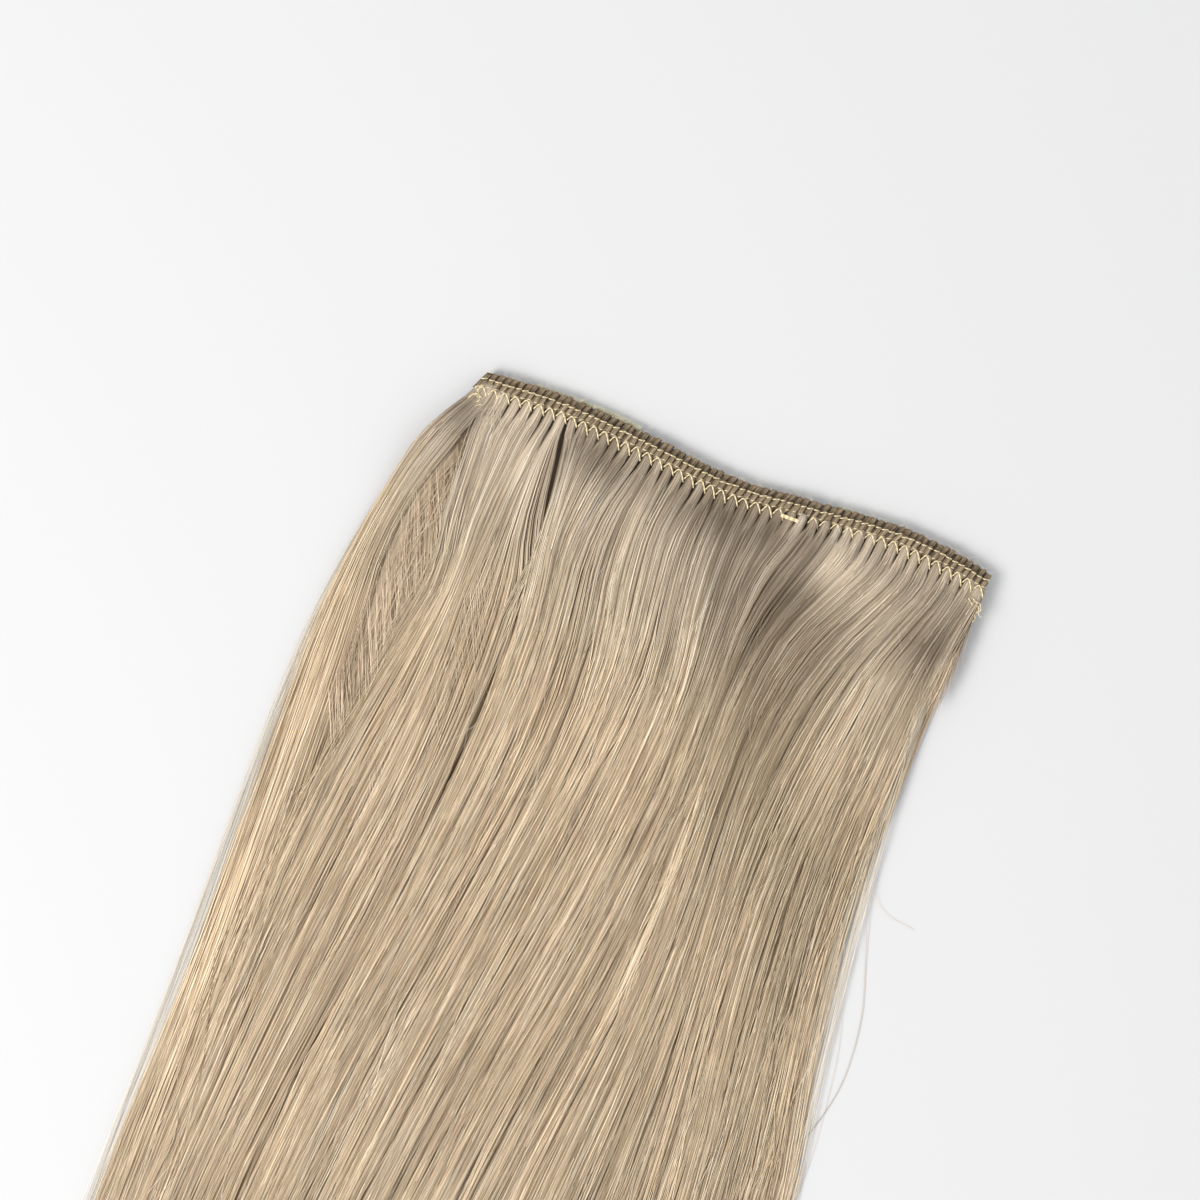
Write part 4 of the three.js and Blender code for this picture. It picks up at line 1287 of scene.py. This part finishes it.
def short_hairs(
    name, seed, count, x, distance, height, length, slope, bend, radius, material, shade_of,
    tone=1.0, narrow=0,
):
    """Short single hairs on the face: each starts at a place, runs down the hair with a slope across, and
    bends as its length times bend times s squared. Places, lengths and radii are drawn evenly between two
    values, slopes round a mean. A narrow group starts at its right end and is as wide as x says at that
    distance."""
    rng = np.random.default_rng(seed)
    right = x[1] * MM
    spans = (x, distance, height)
    x, distance, height = (rng.uniform(*span, count)[:, None] * MM for span in spans)
    if narrow:
        x = right + (x - right) * smooth(distance, -10 * MM, narrow * MM)
    length = rng.uniform(*length, count)[:, None] * MM
    slope, bend = rng.normal(*slope, count)[:, None], rng.normal(0, bend, count)[:, None]
    s = np.linspace(0, 1, SHORT_STEPS)[None]
    paths = np.empty((count, SHORT_STEPS, 3))
    paths[..., 0] = x + length * (slope * s + bend * s**2)
    paths[..., 1] = hair_y(x, distance) - length * s
    paths[..., 2] = height + 0.3 * MM * wander(rng, count, length * s, 0.05, 0.02) ** 2
    shade = tone * np.clip(rng.normal(1, 0.14, count), 0.6, 1.35)[:, None]
    # Painted light and shade at each hair's place, from shade_of, over its random tone.
    shade = shade * shade_of(paths[..., 0], distance + length * s)
    strands(name, paths, rng.uniform(0, 900, count), rng.uniform(*radius, count) * MM, material, shade)


short_hairs(
    "gap_hairs_upright", 53, 640, x=(-85, -68), distance=(10, 100), height=(4.8, 5.6), length=(24, 56),
    slope=(0.42, 0.06), bend=0.04, radius=(0.065, 0.11), material=under_strand_hair, shade_of=under_painted_shading,
    tone=1.06, narrow=50,
)
short_hairs(
    "gap_hairs_aslant", 54, 60, x=(-80, -66), distance=(8, 70), height=(5.2, 6.1), length=(14, 34),
    slope=(-0.12, 0.14), bend=0.1, radius=(0.06, 0.1), material=under_strand_hair, shade_of=under_painted_shading,
    tone=1.0, narrow=50,
)
short_hairs(
    "corner_wisps", 55, 16, x=(-73, -69), distance=(8, 13), height=(6.5, 8.0), length=(5, 10),
    slope=(0.1, 0.3), bend=0.3, radius=(0.05, 0.07), material=fine_hair, shade_of=under_painted_shading, tone=1.05,
)
short_hairs(
    "right_wisps", 56, 230, x=(72.8, 77.4), distance=(8, 26), height=(4.4, 5.8), length=(10, 24),
    slope=(-0.03, 0.07), bend=0.06, radius=(0.07, 0.11), material=under_strand_hair, shade_of=under_painted_shading,
    tone=1.08,
)
short_hairs(
    "face_wisps", 57, 40, x=(-40, 60), distance=(14, 150), height=(8.8, 9.3), length=(4, 18),
    slope=(0.1, 0.3), bend=0.3, radius=(0.04, 0.07), material=fine_hair, shade_of=upper_painted_shading,
)

# The longest flyaways, each as places in millimetres that a smooth curve goes through.
FLYAWAYS = (
    (
        (75.2, -86.0), (80.5, -97.0), (86.4, -113.0), (91.0, -128.0),
        (92.6, -146.0), (89.6, -162.0), (84.0, -178.0),
    ),
    (
        (77.0, -90.0), (81.0, -93.4), (85.0, -96.0), (89.0, -97.4),
        (92.0, -97.6), (94.0, -97.9), (95.5, -98.2),
    ),
    (
        (78.0, -108.0), (82.0, -120.0), (86.0, -130.0), (89.0, -142.0),
        (91.0, -156.0), (92.5, -170.0), (93.0, -190.0),
    ),
)
paths, s = drawn(FLYAWAYS, 40)
paths[..., 2] = (2.4 - 2.1 * smooth(s, 0, 2)) * MM
strands(
    "flyaways", paths, np.arange(3) * 7.0, np.array([0.09, 0.06, 0.05]) * MM, under_strand_hair,
    np.array([[0.6], [1.2], [1.2]]),
)

# The fuzz: each hair leaves the folded edge and bends over, as a parabola.
rng = np.random.default_rng(52)
count = 150
x = rng.uniform(BAND_LEFT, BAND_RIGHT, count)
length = rng.uniform(1.2, 4.2, count)[:, None] * MM
lean = rng.normal(0, 0.9, count)[:, None]
s = np.linspace(0, 1, 6)[None]
paths = np.empty((count, s.size, 3))
paths[..., 0] = x[:, None] + length * s * lean + 0.4 * length * s**2 * rng.normal(0, 1, count)[:, None]
paths[..., 1] = (band_line(x) - 0.5 * MM)[:, None] + length * s * (1 - 0.35 * s)
paths[..., 2] = LOWER_TRACK_MID + rng.uniform(0, 0.8, count)[:, None] * MM + length * 0.2 * s
strands("top_edge_fuzz", paths, rng.uniform(0, 900, count), np.full(count, 0.035 * MM), fine_hair)
